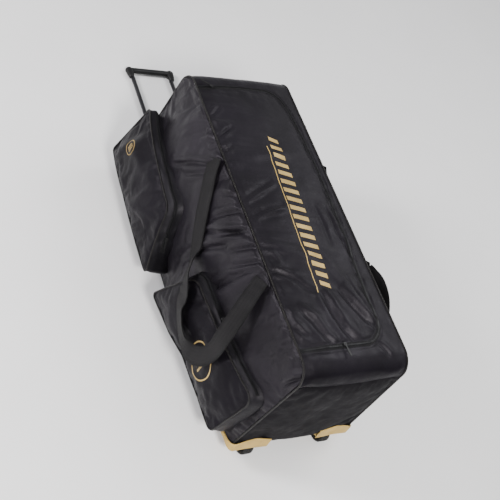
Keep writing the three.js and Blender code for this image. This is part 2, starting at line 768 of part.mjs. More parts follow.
function pocket(name, shape, side) {
  const pieces = [3, 6, 3, 6];
  const seam = evenPath(pocketTurns(shape.seam, 0), pieces);
  const front = evenPath(pocketTurns(shape.front, 0), pieces);
  const [seamIn, frontIn] = [inwardNormals(seam), inwardNormals(front)];
  const edgeDrop = pocketPiping + 3 * seamGap;
  const seats = new Map();
  const seatAt = (swell) => {
    const path = seam.map((p, i) => [0, 1].map((k) => p[k] - seamIn[i][k] * swell));
    if (!seats.has(swell)) seats.set(swell, seatLevels(path));
    return seats.get(swell);
  };
  const wallPoint = (i, share, out) => {
    const swell = Math.sin(Math.PI * share) * 4 + out;
    const at = (path, normals, k) => path[i][k] - normals[i][k] * swell;
    const x = at(seam, seamIn, 0) * (1 - share) + at(front, frontIn, 0) * share;
    const z = at(seam, seamIn, 1) * (1 - share) + at(front, frontIn, 1) * share;
    const low = seatAt(out)[i];
    const high = pocketFace(shape, front[i][0], front[i][1]) - edgeDrop;
    return [x, side * (low + (high - low) * share), z];
  };
  const shares = [0, 0.5, 1];
  const grid = (out) => seam.map((_, i) => shares.map((share) => wallPoint(i, share, out)));
  addMesh(`${name}_gusset`, wallFromGrids(grid(0), grid(-clothWall), true), cloth);

  const edge = evenPath(pocketTurns(shape.front, pocketPiping + seamGap), pieces);
  const face = (x, z) => [x, side * pocketFace(shape, x, z), z];
  addMesh(`${name}_front`, plateFromOutline(edge, 3, face, -side * clothWall), cloth);
  addMesh(`${name}_piping`, loopTube(front.map(([x, z]) => face(x, z)), pocketPiping, 5), webbing);

  const zip = (out) => {
    const rows = [];
    for (let i = shape.zip.from; i <= shape.zip.to; i += 1) {
      rows.push([-zipReach, 0, zipReach].map((share) => wallPoint(i, zipMiddle + share, out)));
    }
    return rows;
  };
  addMesh(`${name}_zip`, wallFromGrids(zip(seamGap + pocketZipWall), zip(seamGap)), webbing);
  const seat = shape.zip.pull;
  const zipFace = seamGap + pocketZipWall;
  const point = (i, share, out) => new THREE.Vector3(...wallPoint(i, share, out));
  const at = point(seat, zipMiddle, zipFace);
  const along = point(seat + 1, zipMiddle, zipFace).sub(at);
  at.addScaledVector(along, 0.25);
  const across = point(seat, zipMiddle + zipReach, zipFace).sub(point(seat, zipMiddle - zipReach, zipFace));
  const up = new THREE.Vector3().crossVectors(along, across).normalize();
  if (up.dot(point(seat, zipMiddle, zipFace + 1).sub(at)) < 0) up.negate();
  at.addScaledVector(up, pullSeat);
  addMesh(`${name}_pull`, zipPull([at.x, at.y, at.z], along.normalize(), up, pocketPull), blackPlastic);
}

// Webbing band along stations: each holds its middle point and the way its face looks
function ribbon(stationsList, width, wall) {
  const points = stationsList.map((station) => new THREE.Vector3(...station.at));
  const outer = [];
  const inner = [];
  points.forEach((p, i) => {
    const tangent = points[Math.min(i + 1, points.length - 1)].clone();
    tangent.sub(points[Math.max(i - 1, 0)]).normalize();
    const across = new THREE.Vector3().crossVectors(tangent, stationsList[i].face).normalize();
    const up = new THREE.Vector3().crossVectors(across, tangent).normalize();
    const corner = (a, b) => {
      const q = p.clone().addScaledVector(across, a * width).addScaledVector(up, b * wall);
      return [q.x, q.y, q.z];
    };
    outer.push([corner(-0.5, 1), corner(0.5, 1)]);
    inner.push([corner(-0.5, 0), corner(0.5, 0)]);
  });
  return wallFromGrids(outer, inner);
}

// Carry handles: x and z in shares of half the length and of the height, lift off what lies under
// the band in shares of strapLift, tilt of the band's face upwards, and what the band lies over
const nearStrap = [
  { x: -0.36, z: 0.965, lift: 0, tilt: 0.18, over: 'side' },
  { x: -0.3, z: 0.9, lift: 0.02, tilt: 0.2, over: 'side' },
  { x: -0.22, z: 0.835, lift: 0.08, tilt: 0.22, over: 'side' },
  { x: -0.13, z: 0.762, lift: 0.14, tilt: 0.2, over: 'side' },
  { x: -0.04, z: 0.67, lift: 0.2, tilt: 0.12, over: 'side' },
  { x: 0.04, z: 0.595, lift: 0.32, tilt: 0, over: 'side' },
  { x: 0.133, z: 0.586, lift: 1.08, tilt: -0.05, over: 'side' },
  { x: 0.222, z: 0.58, lift: 0.5, tilt: -0.1, over: 'pocket' },
  { x: 0.262, z: 0.53, lift: 0.36, tilt: -0.2, over: 'pocket' },
  { x: 0.3, z: 0.465, lift: 0.36, tilt: -0.3, over: 'pocket' },
  { x: 0.385, z: 0.4, lift: 0.34, tilt: -0.3, over: 'pocket' },
  { x: 0.47, z: 0.36, lift: 0.34, tilt: -0.1, over: 'pocket' },
  { x: 0.55, z: 0.39, lift: 0.34, tilt: 0.25, over: 'pocket' },
  { x: 0.61, z: 0.48, lift: 0.36, tilt: 0.5, over: 'pocket' },
  { x: 0.627, z: 0.585, lift: 0.42, tilt: 0.6, over: 'pocket' },
  { x: 0.61, z: 0.697, lift: 0.55, tilt: 0.65, over: 'pocket' },
  { x: 0.57, z: 0.779, lift: 1.05, tilt: 0.65, over: 'side' },
  { x: 0.52, z: 0.85, lift: 0.7, tilt: 0.55, over: 'side' },
  { x: 0.476, z: 0.903, lift: 0.36, tilt: 0.4, over: 'side' },
  { x: 0.45, z: 0.93, lift: 0.1, tilt: 0.28, over: 'side' },
  { x: 0.43, z: 0.965, lift: 0, tilt: 0.18, over: 'side' },
];

const farStrap = [
  { x: -0.34, z: 0.965, lift: -0.056, tilt: 0.18, over: 'side' },
  { x: -0.3, z: 0.91, lift: -0.01, tilt: 0.18, over: 'side' },
  { x: -0.24, z: 0.85, lift: 0.3, tilt: 0.18, over: 'side' },
  { x: -0.15, z: 0.77, lift: 0.3, tilt: 0.18, over: 'side' },
  { x: -0.05, z: 0.68, lift: 0.25, tilt: 0.18, over: 'side' },
  { x: 0.07, z: 0.58, lift: 0.66, tilt: 0.1, over: 'side' },
  { x: 0.15, z: 0.55, lift: 0.4, tilt: 0, over: 'pocket' },
  { x: 0.25, z: 0.47, lift: 0.34, tilt: 0, over: 'pocket' },
  { x: 0.36, z: 0.41, lift: 0.32, tilt: 0.1, over: 'pocket' },
  { x: 0.48, z: 0.42, lift: 0.34, tilt: 0.18, over: 'pocket' },
  { x: 0.56, z: 0.48, lift: 0.36, tilt: 0.2, over: 'pocket' },
  { x: 0.6, z: 0.57, lift: 0.38, tilt: 0.2, over: 'pocket' },
  { x: 0.6, z: 0.68, lift: 0.85, tilt: 0.18, over: 'side' },
  { x: 0.58, z: 0.78, lift: 0.85, tilt: 0.15, over: 'side' },
  { x: 0.53, z: 0.87, lift: 0.8, tilt: 0.1, over: 'side' },
  { x: 0.462, z: 0.92, lift: 0.62, tilt: 0.1, over: 'side' },
  { x: 0.405, z: 0.93, lift: 0.28, tilt: 0.15, over: 'side' },
  { x: 0.36, z: 0.93, lift: -0.01, tilt: 0.18, over: 'side' },
  { x: 0.33, z: 0.965, lift: -0.056, tilt: 0.18, over: 'side' },
];

function strapStations(table, side) {
  const rows = [];
  for (let i = 0; i < table.length - 1; i += 1) {
    for (let k = 0; k < strapRefine; k += 1) rows.push([table[i], table[i + 1], k / strapRefine]);
  }
  rows.push([table[table.length - 1], table[table.length - 1], 0]);
  return rows.map(([a, b, share]) => {
    const place = (row) => {
      const [x, z] = [row.x * halfLength, row.z * bodyHeight];
      const half = strapWidth / 2;
      const across = [x - half, x, x + half].map((spot) => [spot, z]);
      const along = [z - half / 2, Math.min(z + half / 2, bodyHeight)].map((spot) => [x, spot]);
      const onPocket = (px, pz) => pocketFace(pocketShapes.wheel_end, px, pz);
      const level = row.over === 'side' ? sideSurface : onPocket;
      const under = Math.max(...[...across, ...along].map((spot) => level(...spot)));
      return new THREE.Vector3(x, side * (under + strapSeat + row.lift * strapLift), z);
    };
    const at = place(a).lerp(place(b), share);
    return { at: [at.x, at.y, at.z], face: new THREE.Vector3(0, side, a.tilt + (b.tilt - a.tilt) * share) };
  });
}

// Haul handle: its ends lie on the handle end and the middle bows out as a hand hold
function haulHandle() {
  const half = haulLength / 2;
  const flat = 30;
  const count = 16;
  const list = [];
  for (let i = 0; i <= count; i += 1) {
    const y = -half + (haulLength * i) / count;
    const u = THREE.MathUtils.clamp((half - Math.abs(y)) / flat - 0.6, 0, 1);
    const z = bodyHeight - haulDrop;
    const v = y / (halfWidth(z) - edgeInset);
    const at = bandPoint(onHandleEnd(z), v, seamGap + haulBow * (1 - (1 - u) ** 2));
    list.push({ at, face: new THREE.Vector3(-1, 0, 0) });
  }
  return ribbon(list, haulWidth, strapWall);
}

// Wheels, axles and guards, for the side where y has the sign of side
const wheelX = halfLength - wheelSetback;
const wheelY = wheelTrack / 2;
const hubGap = 1;

function wheel(side) {
  const half = wheelWidth / 2;
  const bore = axleRadius + runningGap;
  const edge = 3;
  const profile = [
    [bore, -half + edge], [hubRadius, -half + edge], [wheelRadius - 2.5 * edge, -half + 2 * edge],
    [wheelRadius - edge, -half], [wheelRadius, -half + edge], [wheelRadius, half - edge],
    [wheelRadius - edge, half], [wheelRadius - 2.5 * edge, half - 2 * edge], [hubRadius, half - edge],
    [bore, half - edge], [bore, -half + edge],
  ].map(([r, y]) => new THREE.Vector2(r, y));
  const geometry = new THREE.LatheGeometry(profile, 18);
  geometry.translate(0, side * wheelY, 0);
  geometry.translate(wheelX, 0, wheelRadius);
  return fromSolid(toSolid(geometry));
}

// Cylinder on a wheel's axis that reaches the same way to both sides of the wheel
function axleCylinder(radius, side, reach) {
  const geometry = new THREE.CylinderGeometry(radius, radius, 2 * reach, 12);
  return geometry.translate(wheelX, side * wheelY, wheelRadius);
}

const guardCrest = [
  { x: 0, top: 0.72 },
  { x: 0.3, top: 1 },
  { x: 0.55, top: 0.8 },
  { x: 0.75, top: 0.34 },
  { x: 1, top: 0.12 },
];
const guardFlare = 4;
const guardRound = 6;
const guardClear = guardRound * (Math.SQRT2 - 1) + pipingRadius + 2 * seamGap;

// Guard stations in plan: along the end, round the corner and along the side
const guardStations = [
  ...[0, 0.25, 0.5, 0.75, 1].map((share) => ({ run: 'end', share, k: share * 0.6 })),
  ...[0.33, 0.67, 1].map((share) => ({ run: 'corner', share, k: 0.6 + share * 0.12 })),
  ...[0.5, 1].map((share) => ({ run: 'side', share, k: 0.72 + share * 0.28 })),
];

function guardPlan({ run, share }, z, out) {
  const level = Math.max(z, lipHeight + lipCorner);
  const wide = halfWidth(level) - guardRound;
  const flare = guardFlare * THREE.MathUtils.clamp((guardTop - z) / (guardTop - guardBottom), 0, 1);
  if (run === 'end') {
    const y = guardInner + (wide - guardInner) * share;
    const [x] = bandPoint(onWheelEnd(level), y / (halfWidth(level) - edgeInset), 2 * seamGap);
    const corner = halfLength + guardClear;
    const ease = THREE.MathUtils.smoothstep(share, 0.3, 1);
    return [x + (Math.max(corner, x) - x) * ease + flare + out, y];
  }
  if (run === 'corner') {
    const angle = (share * Math.PI) / 2;
    const r = guardRound + guardClear + out;
    return [halfLength - guardRound + (r + flare) * Math.cos(angle), wide + r * Math.sin(angle)];
  }
  const x = halfLength - guardRound - (guardWrap - guardRound) * share;
  const y = Math.max(halfWidth(level) + guardClear, sideFacet(x, level + guardWall) + 3 * seamGap);
  return [x, y + out];
}

function wheelGuard(side) {
  const rows = 2;
  const grid = (out) => guardStations.map((station) => {
    const crest = guardBottom + (guardTop - guardBottom) * tableAt(guardCrest, station.k, 'top');
    return Array.from({ length: rows + 1 }, (_, j) => {
      const z = guardBottom + ((crest - guardBottom) * j) / rows;
      const [x, y] = guardPlan(station, z, out);
      return [x, side * y, z];
    });
  });
  let solid = toSolid(wallFromGrids(grid(guardWall), grid(0)));

  const plateTop = lipHeight - pipingRadius - 2 * seamGap;
  const plateWall = 1.8;
  const backX = halfLength - guardWrap;
  const outline = new THREE.Shape();
  outline.moveTo(backX, side * guardInner);
  for (const station of guardStations) {
    const [x, y] = guardPlan(station, plateTop, guardWall / 2);
    outline.lineTo(x, side * y);
  }
  outline.closePath();
  const plate = new THREE.ExtrudeGeometry(outline, { depth: plateWall, bevelEnabled: false });
  plate.translate(0, 0, plateTop - plateWall);
  solid = solid.add(toSolid(plate));

  const cheekGap = wheelWidth / 2 + hubGap;
  const cheekRound = 11;
  for (const y of [wheelY - cheekGap - guardWall, wheelY + cheekGap]) {
    const shape = new THREE.Shape();
    shape.moveTo(wheelX - cheekRound - 5, plateTop - 0.5);
    shape.lineTo(wheelX - cheekRound, wheelRadius);
    shape.absarc(wheelX, wheelRadius, cheekRound, Math.PI, 0, false);
    shape.lineTo(wheelX + cheekRound, plateTop - 0.5);
    shape.closePath();
    const options = { depth: guardWall, bevelEnabled: false, curveSegments: 6 };
    const cheek = new THREE.ExtrudeGeometry(shape, options);
    cheek.rotateX(Math.PI / 2).translate(0, side > 0 ? y + guardWall : -y, 0);
    solid = solid.add(toSolid(cheek));
  }
  const bore = axleCylinder(axleRadius + runningGap, side, wheelWidth);
  return fromSolid(solid.subtract(toSolid(bore)));
}

function axle(side) {
  const reach = wheelWidth / 2 + hubGap + guardWall + 1;
  return axleCylinder(axleRadius, side, reach);
}

function buildWheels() {
  for (const [word, side] of [['near', -1], ['far', 1]]) {
    addMesh(`wheel_guard_${word}`, wheelGuard(side), goldPlastic);
    addMesh(`wheel_${word}`, wheel(side), rubber);
    addMesh(`axle_${word}`, axle(side), steel);
  }
}

// Trolley handle: fixed outer tubes on the base board, sliding inner tubes and the grip
function cylinderAlongX(radius, xFrom, xTo, y, sides) {
  const geometry = new THREE.CylinderGeometry(radius, radius, xTo - xFrom, sides);
  return geometry.rotateZ(Math.PI / 2).translate((xFrom + xTo) / 2, y, tubeHeight);
}

function trolleyCollar() {
  const low = [collarFace, -collarWidth / 2, collarLow];
  const high = [collarFace + collarLength, collarWidth / 2, collarLow + collarHeight];
  let solid = toSolid(boxAt(low, high));
  for (const y of [-tubeSpacing / 2, tubeSpacing / 2]) {
    const bore = cylinderAlongX(innerTubeRadius + runningGap, low[0] - 5, high[0] + 5, y, 14);
    solid = solid.subtract(toSolid(bore));
  }
  return fromSolid(solid);
}

function outerTube(y) {
  const from = collarFace + collarLength + seamGap;
  const to = from + outerTubeLength;
  const outside = toSolid(cylinderAlongX(tubeRadius, from, to, y, 14));
  const inside = toSolid(cylinderAlongX(innerTubeRadius + runningGap, from - 5, to + 5, y, 14));
  return fromSolid(outside.subtract(inside));
}

function trolleyBracket() {
  const from = collarFace + collarLength + outerTubeLength + 2 * seamGap;
  const low = [from, -collarWidth / 2, boardWall + seamGap];
  return boxAt(low, [from + bracketLength, collarWidth / 2, boardWall + seamGap + 2 * tubeRadius]);
}

const gripX = -halfLength - pullOut;

function innerTube(y) {
  const to = collarFace + collarLength + tubeOverlap;
  return fromSolid(toSolid(cylinderAlongX(innerTubeRadius, gripX + gripLeg + seamGap, to, y, 14)));
}

function trolleyGrip() {
  const bar = new THREE.CapsuleGeometry(gripRadius, 2 * (gripReach - gripRadius), 3, 12);
  bar.scale(1.15, 1, 1).translate(gripX, 0, tubeHeight);
  let solid = toSolid(bar);
  for (const side of [-1, 1]) {
    const profile = [
      [0, 0], [innerTubeRadius + 1.4, 0], [gripRadius + 2, gripLeg * 0.55], [gripRadius + 2.5, gripLeg],
      [gripRadius, gripLeg + gripRadius], [0, gripLeg + gripRadius],
    ].map(([r, h]) => new THREE.Vector2(r, h));
    const leg = new THREE.LatheGeometry(profile, 12);
    leg.scale(1.1, 1, 0.92).rotateZ(Math.PI / 2);
    leg.translate(gripX + gripLeg, (side * tubeSpacing) / 2 + side * 4, tubeHeight);
    solid = solid.add(toSolid(leg));
  }
  return fromSolid(solid);
}

function buildTrolley() {
  addMesh('trolley_collar', trolleyCollar(), blackPlastic);
  addMesh('trolley_bracket', trolleyBracket(), blackPlastic);
  addMesh('trolley_grip', trolleyGrip(), blackPlastic);
  for (const [word, y] of [['near', -tubeSpacing / 2], ['far', tubeSpacing / 2]]) {
    addMesh(`outer_tube_${word}`, outerTube(y), darkMetal);
    addMesh(`inner_tube_${word}`, innerTube(y), darkMetal);
  }
}

function buildSoftFittings() {
  pocket('pocket_handle_end', pocketShapes.handle_end, -1);
  pocket('pocket_wheel_end', pocketShapes.wheel_end, -1);
  pocket('pocket_far', pocketShapes.wheel_end, 1);
  addMesh('carry_strap_near', ribbon(strapStations(nearStrap, -1), strapWidth, strapWall), webbing);
  addMesh('carry_strap_far', ribbon(strapStations(farStrap, 1), strapWidth, strapWall), webbing);
  addMesh('haul_handle', haulHandle(), webbing);
}

function buildShell() {
  const baseFrom = onWheelEnd(lipHeight + lipCorner) + lipOverlap;
  const baseTo = bandLength[bandPath.length] - seamGap;
  const base = bandPanel(baseFrom, baseTo, baseStep, [-1, -baseFlat, 0, baseFlat, 1], boardWall);
  addMesh('base_panel', base, heavyCloth);
  addMesh('side_panel_near', sidePanel(-1), cloth);
  addMesh('side_panel_far', sidePanel(1), cloth);
  addMesh('piping_near', bodyPiping(-1), webbing);
  addMesh('piping_far', bodyPiping(1), webbing);
  addMesh('lid_panel', lidPanel(), cloth);
  addMesh('lid_zip', lidZip(), webbing);
  addMesh('top_gusset', topGusset(), cloth);
  addMesh('lid_pull_handle', lidPull(0.02, -2.2), blackPlastic);
  addMesh('lid_pull_wheel', lidPull(0.93, 0.1), blackPlastic);
  const seamZ = bodyHeight - endSeamDrop - seamGap;
  addMesh('end_panel_handle', handleEndPanel(), heavyCloth);
  const wheelEnd = bandPanel(onWheelEnd(seamZ), baseFrom - seamGap, endStep, evenly(6), clothWall);
  addMesh('end_panel_wheel', wheelEnd, heavyCloth);
}

buildShell();
buildSoftFittings();
buildWheels();
buildTrolley();

export default bag;
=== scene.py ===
# Wheeled cricket kit bag: cloth, webbing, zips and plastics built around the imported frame.
# Lengths are in millimetres until a mesh is made, and a mesh is in metres.
import math

import bmesh
import bpy
import numpy as np
from mathutils import Matrix, Vector
from mathutils.bvhtree import BVHTree


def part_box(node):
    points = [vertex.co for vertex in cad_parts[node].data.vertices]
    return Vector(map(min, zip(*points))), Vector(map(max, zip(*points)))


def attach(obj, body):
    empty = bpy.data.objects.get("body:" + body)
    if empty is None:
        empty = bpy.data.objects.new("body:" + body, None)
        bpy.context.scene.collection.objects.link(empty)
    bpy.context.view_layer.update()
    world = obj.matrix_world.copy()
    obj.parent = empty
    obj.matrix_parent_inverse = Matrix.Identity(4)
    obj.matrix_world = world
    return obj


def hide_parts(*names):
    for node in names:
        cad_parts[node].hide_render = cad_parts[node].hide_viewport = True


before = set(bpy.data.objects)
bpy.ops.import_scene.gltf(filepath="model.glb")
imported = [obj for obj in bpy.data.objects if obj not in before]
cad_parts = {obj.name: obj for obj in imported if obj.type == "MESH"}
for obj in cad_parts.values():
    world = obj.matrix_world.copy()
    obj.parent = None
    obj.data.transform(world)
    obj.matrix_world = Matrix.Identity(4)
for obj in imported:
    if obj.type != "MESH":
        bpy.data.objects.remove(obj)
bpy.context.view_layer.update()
ROOT = "bag"
MM = 0.001
SIDES = (("near", -1), ("far", 1))

# Sizes of the body
LENGTH = 900.0
HEIGHT = 404.0
TOP_WIDTH = 294.0
BASE_WIDTH = 361.0
END_CORNER = 45.0
LIP_HEIGHT = 62.0
LIP_CORNER = 12.0
WELL_LENGTH = 60.0
WELL_SLOPE = 42.0
WELL_CORNER = 16.0
SIDE_BULGE = 36.0
TOP_CROWN = 16.0
END_BULGE = 9.0
FOLD = 6.0
SEAM_GAP = 0.35
PIPING = 2.4
HALF = LENGTH / 2
INSET = PIPING + SEAM_GAP
FOOT = PIPING

# Sizes of the lid, pockets and webbing
ZIP_WIDTH = 15.0
LID_INSET = 63.0
LID_CORNER = 58.0
SEAM_DROP = 55.0
SEAM_LEVEL = HEIGHT - SEAM_DROP
POCKET_DEPTH = 58.0
POCKET_PIPING = 1.9
POCKET_CROWN = 7.0
STRAP_WIDTH = 48.0
STRAP_LIFT = 38.0
STRAP_SEAT = 0.56
STRAP_WALL = 2.6
HAUL_WIDTH = 36.0
HAUL_HALF = 104.0
HAUL_LEVEL = HEIGHT - 66
HAUL_LIFT = 17.0
CHANNEL = 8.0
FRONT_INSET = 0.9

# Grids: columns and rows of the side cloths and pocket fronts, and the band's half width in its uv
SIDE_GRID = {-1: (250, 96), 1: (150, 60)}
FRONT_GRID = (92, 54)
V_SPAN = 150.0


# Lines and grids of points
def unit(v):
    return v / np.linalg.norm(v, axis=-1, keepdims=True)


def run_of(line):
    return np.concatenate([[0], np.cumsum(np.linalg.norm(np.diff(line, axis=0), axis=1))])


def sample(at, run, field):
    return np.stack([np.interp(at, run, column) for column in np.asarray(field, float).T], -1)


def resample(line, count):
    run = run_of(line)
    return sample(np.linspace(0, run[-1], count), run, line)


# Distance from a line, above zero on its left, and the place along it
def nearest(line, x, y):
    line = np.asarray(line, float)
    points = np.stack([x, y], -1).reshape(-1, 2)
    run = run_of(line)
    off, place = np.full(len(points), 1e9), np.zeros(len(points))
    for start, step, low, high in zip(line, np.diff(line, axis=0), run, run[1:]):
        r = points - start
        t = np.clip(r @ step / (step @ step), 0, 1)
        gap = r - t[:, None] * step
        far = np.hypot(gap[:, 0], gap[:, 1])
        nearer = far < np.abs(off)
        off = np.where(nearer, np.where(step[0] * r[:, 1] - step[1] * r[:, 0] > 0, far, -far), off)
        place = np.where(nearer, low + t * (high - low), place)
    return off.reshape(np.shape(x)), place.reshape(np.shape(x))


# Smooth random height between -1 and 1 over a plane
def noise(u, v, seed):
    table = np.random.default_rng(seed).uniform(-1, 1, (97, 89))
    u, v = np.broadcast_arrays(np.asarray(u, float), np.asarray(v, float))
    i, j = np.floor(u).astype(int), np.floor(v).astype(int)
    a, b = u - i, v - j
    a, b = a * a * a * (a * (a * 6 - 15) + 10), b * b * b * (b * (b * 6 - 15) + 10)

    def at(p, q):
        return table[(i + p) % 97, (j + q) % 89]

    return (at(0, 0) * (1 - a) + at(1, 0) * a) * (1 - b) + (at(0, 1) * (1 - a) + at(1, 1) * a) * b


# Gathers that run away from a seam: along is the distance along it and off the distance from it
def gather(along, off, seed, pitch=24.0, reach=42.0, lean=0.0):
    t = along + lean * off
    ripple = noise(t / pitch, off / (2.2 * reach), seed)
    ripple = ripple + 0.5 * noise(t / (0.47 * pitch), off / reach, seed + 5)
    return ripple * np.exp(-np.maximum(off, 0) / reach) * np.clip(off / 7, 0, 1)


# Closed outline of straight runs and rounded corners, each corner (x, z, radius)
def rounded(turns, steps=12, pieces=None, step=5.0):
    count = len(turns)
    arcs = []
    for i, (x, z, radius) in enumerate(turns):
        here = np.array((x, z))
        a = unit(here - np.array(turns[i - 1][:2]))
        b = unit(np.array(turns[(i + 1) % count][:2]) - here)
        turn = math.atan2(a[0] * b[1] - a[1] * b[0], a @ b)
        start = here - a * radius * abs(math.tan(turn / 2))
        centre = start + np.array([-a[1], a[0]]) * math.copysign(radius, turn)
        d = start - centre
        w = turn * np.arange(steps + 1) / steps
        c, s = np.cos(w), np.sin(w)
        arcs.append(centre + np.stack([d[0] * c - d[1] * s, d[0] * s + d[1] * c], 1))
    path, marks = [], []
    for i in range(count):
        marks.append((len(path), len(path) + steps))
        path.extend(arcs[i])
        end, after = arcs[i][-1], arcs[(i + 1) % count][0]
        n = pieces[i] if pieces else max(1, int(math.ceil(np.linalg.norm(after - end) / step)))
        path.extend(end + (after - end) * k / n for k in range(1, n))
    return np.array(path), marks


# The side's outline, moved in by a distance
def body_turns(inset):
    ease = inset * math.tan(math.atan2(LIP_HEIGHT - FOOT, WELL_SLOPE) / 2)
    return [
        (-HALF + inset, FOOT + inset, END_CORNER - inset),
        (-HALF + inset, HEIGHT - inset, END_CORNER - inset),
        (HALF - inset, HEIGHT - inset, END_CORNER - inset),
        (HALF - inset, LIP_HEIGHT + inset, LIP_CORNER - inset),
        (HALF - WELL_LENGTH - ease, LIP_HEIGHT + inset, WELL_CORNER + inset),
        (HALF - WELL_LENGTH - WELL_SLOPE - ease, FOOT + inset, WELL_CORNER - inset),
    ]


# The band that runs round the body between the two side panels
BAND, MARKS = rounded(body_turns(0), step=4.0)
_loop = np.vstack([BAND, BAND[:1]])
BAND_S = run_of(_loop)
_tangent = unit(np.roll(BAND, -1, 0) - np.roll(BAND, 1, 0))
_normal = np.stack([-_tangent[:, 1], _tangent[:, 0]], 1)
_field = np.hstack([_loop, np.vstack([_normal, _normal[:1]])])
S_FOOT, S_TOP, S_WHEEL, S_LIP = (BAND_S[MARKS[k][1]] for k in range(4))


# Place on the band and the way out of it, at a distance round the body
def band_at(s):
    x, z, nx, nz = np.moveaxis(sample(np.mod(s, BAND_S[-1]), BAND_S, _field), -1, 0)
    size = np.hypot(nx, nz)
    return x, z, nx / size, nz / size


# Distances round the body of places on its top and its two ends
def on_top(x):
    return S_TOP + (x + HALF - END_CORNER)


def on_handle_end(z):
    return S_FOOT + (z - FOOT - END_CORNER)


def on_wheel_end(z):
    return S_WHEEL + (HEIGHT - END_CORNER - z)


def half_width(z):
    return (BASE_WIDTH + (TOP_WIDTH - BASE_WIDTH) * (z / HEIGHT)) / 2


NEAR_EDGE = half_width(HEIGHT) - INSET


# Folds are rounded ridges: u, v, angle, length and width in shares, height in folds
def fold_sum(folds, u, v, span_u, span_v):
    total = 0
    for fu, fv, angle, length, width, height in folds:
        turn = math.radians(angle)
        du, dv = (u - fu) * span_u, (v - fv) * span_v
        along = (du * math.cos(turn) + dv * math.sin(turn)) / (length * span_v)
        across = (dv * math.cos(turn) - du * math.sin(turn)) / (width * span_v)
        total = total + height * np.clip(1 - along * along, 0, 1) * np.exp(-across * across)
    return total * FOLD


LID_FOLDS = [
    (0.62, 0.36, 28, 0.9, 0.1, 1.0),
    (0.7, 0.02, 24, 0.7, 0.09, 0.8),
    (0.5, 0.3, 22, 0.8, 0.09, 0.7),
    (0.66, -0.62, 62, 0.4, 0.1, 0.8),
    (0.3, -0.5, 68, 0.5, 0.12, 0.8),
    (0.02, -0.62, 80, 0.4, 0.1, 0.7),
    (-0.34, -0.2, 96, 0.9, 0.1, 0.6),
]
SIDE_FOLDS = [
    (-0.62, 0.52, -58, 0.36, 0.1, 0.9),
    (-0.46, 0.44, -46, 0.4, 0.1, 1.0),
    (-0.12, 0.5, -72, 0.34, 0.1, 0.7),
    (0.06, 0.52, -78, 0.36, 0.1, 0.8),
    (0.2, 0.56, -82, 0.3, 0.1, 0.8),
    (0.62, 0.56, -104, 0.32, 0.1, 0.8),
    (0.76, 0.5, -112, 0.34, 0.1, 0.7),
]
# The folds of the solid side panel are wider than those of its cloth
SOLID_FOLDS = [(*fold[:4], 0.15, fold[5]) for fold in SIDE_FOLDS]
POCKET_FOLDS = [
    (0.2, 0.62, 62, 0.55, 0.1, 0.9),
    (0.14, 0.3, 74, 0.5, 0.08, 0.6),
    (0.74, 0.3, 24, 0.5, 0.07, 0.7),
    (0.86, 0.52, 30, 0.34, 0.06, 0.7),
    (0.5, 0.78, 14, 0.6, 0.09, 0.6),
    (0.42, 0.16, -12, 0.6, 0.08, 0.5),
]

# Sharp creases: the points of each line in mm, its half width and its depth
LID_CREASES = [
    ([(247, -38), (301, -30), (351, -14), (380, 6)], 7, 5),
    ([(242, 10), (290, 31), (330, 58), (350, 82)], 7, 5),
    ([(207, 46), (270, 61), (322, 84)], 6, 3.6),
    ([(281, -118), (323, -88), (361, -71), (384, -52)], 6.5, 4.2),
    ([(298, -157), (331, -136), (358, -115)], 5.5, 3),
    ([(0, -159), (-31, -102), (-63, -39)], 6, -3.2),
    ([(34, -127), (23, -85), (15, -37)], 6, -3.2),
    ([(188, -178), (183, -129), (213, -90)], 6, 3.6),
    ([(120, -166), (135, -121), (163, -108)], 6, -3),
    ([(-3, 83), (73, 88), (159, 102)], 5.5, 3.4),
    ([(-3, 48), (66, 53), (125, 49)], 6, 2),
    ([(382, 66), (408, 86), (438, 102)], 5.5, 3.2),
    ([(191, -102), (232, -77), (253, -51)], 7, 2.4),
    ([(-159, -158), (-187, -113)], 4.5, 2.6),
    ([(-207, -149), (-243, -108)], 4.5, 2.6),
    ([(-283, -151), (-293, -131), (-315, -107)], 4, 2.4),
    ([(-218, -150), (-227, -123), (-247, -94)], 4, 2.4),
    ([(-186, -156), (-179, -138), (-160, -135)], 4, 2.4),
    ([(-311, -152), (-306, -142), (-322, -127)], 4, 2),
]
SIDE_CREASES = [
    ([(-31, 314), (-5, 376), (23, 436)], 6, 4),
    ([(19, 308), (48, 373), (82, 441)], 6, 4.4),
    ([(74, 326), (104, 388), (129, 437)], 5, 3.4),
    ([(116, 324), (144, 385), (170, 438)], 6, 4.4),
    ([(113, 209), (137, 280), (156, 349)], 7, 3.6),
    ([(260, 397), (288, 434), (320, 455)], 5.5, 3.4),
    ([(304, 386), (333, 428), (364, 452)], 5, 2.6),
    ([(422, 322), (435, 372), (450, 412)], 5, 2.8),
    ([(-243, 387), (-238, 436)], 4, 2.6),
    ([(-199, 376), (-188, 436)], 4, 2.6),
    ([(-247, 257), (-199, 323), (-153, 373)], 5, 3),
    ([(-197, 278), (-146, 347)], 5, 2.4),
    ([(-66, 370), (-23, 419)], 4.5, 3),
    ([(-31, 263), (27, 341), (95, 421)], 5.5, 3.4),
    ([(-5, 159), (15, 250), (63, 334)], 7, 3.2),
    ([(118, 236), (137, 318), (174, 416)], 6, 3.4),
]


# A crease is a narrow valley between two low ridges that fades towards both its ends
def creases(table, x, y):
    total = 0 * x
    for points, width, depth in table:
        off, place = nearest(points, x, y)
        off, at = off / width, place / run_of(points)[-1]
        ridges = 0.75 * np.exp(-((off - 2) / 1.5) ** 2) + 0.45 * np.exp(-((off + 2) / 1.5) ** 2)
        total = total + depth * np.sqrt(np.clip(4 * at * (1 - at), 0, 1)) * (ridges - np.exp(-off**2))
    return total


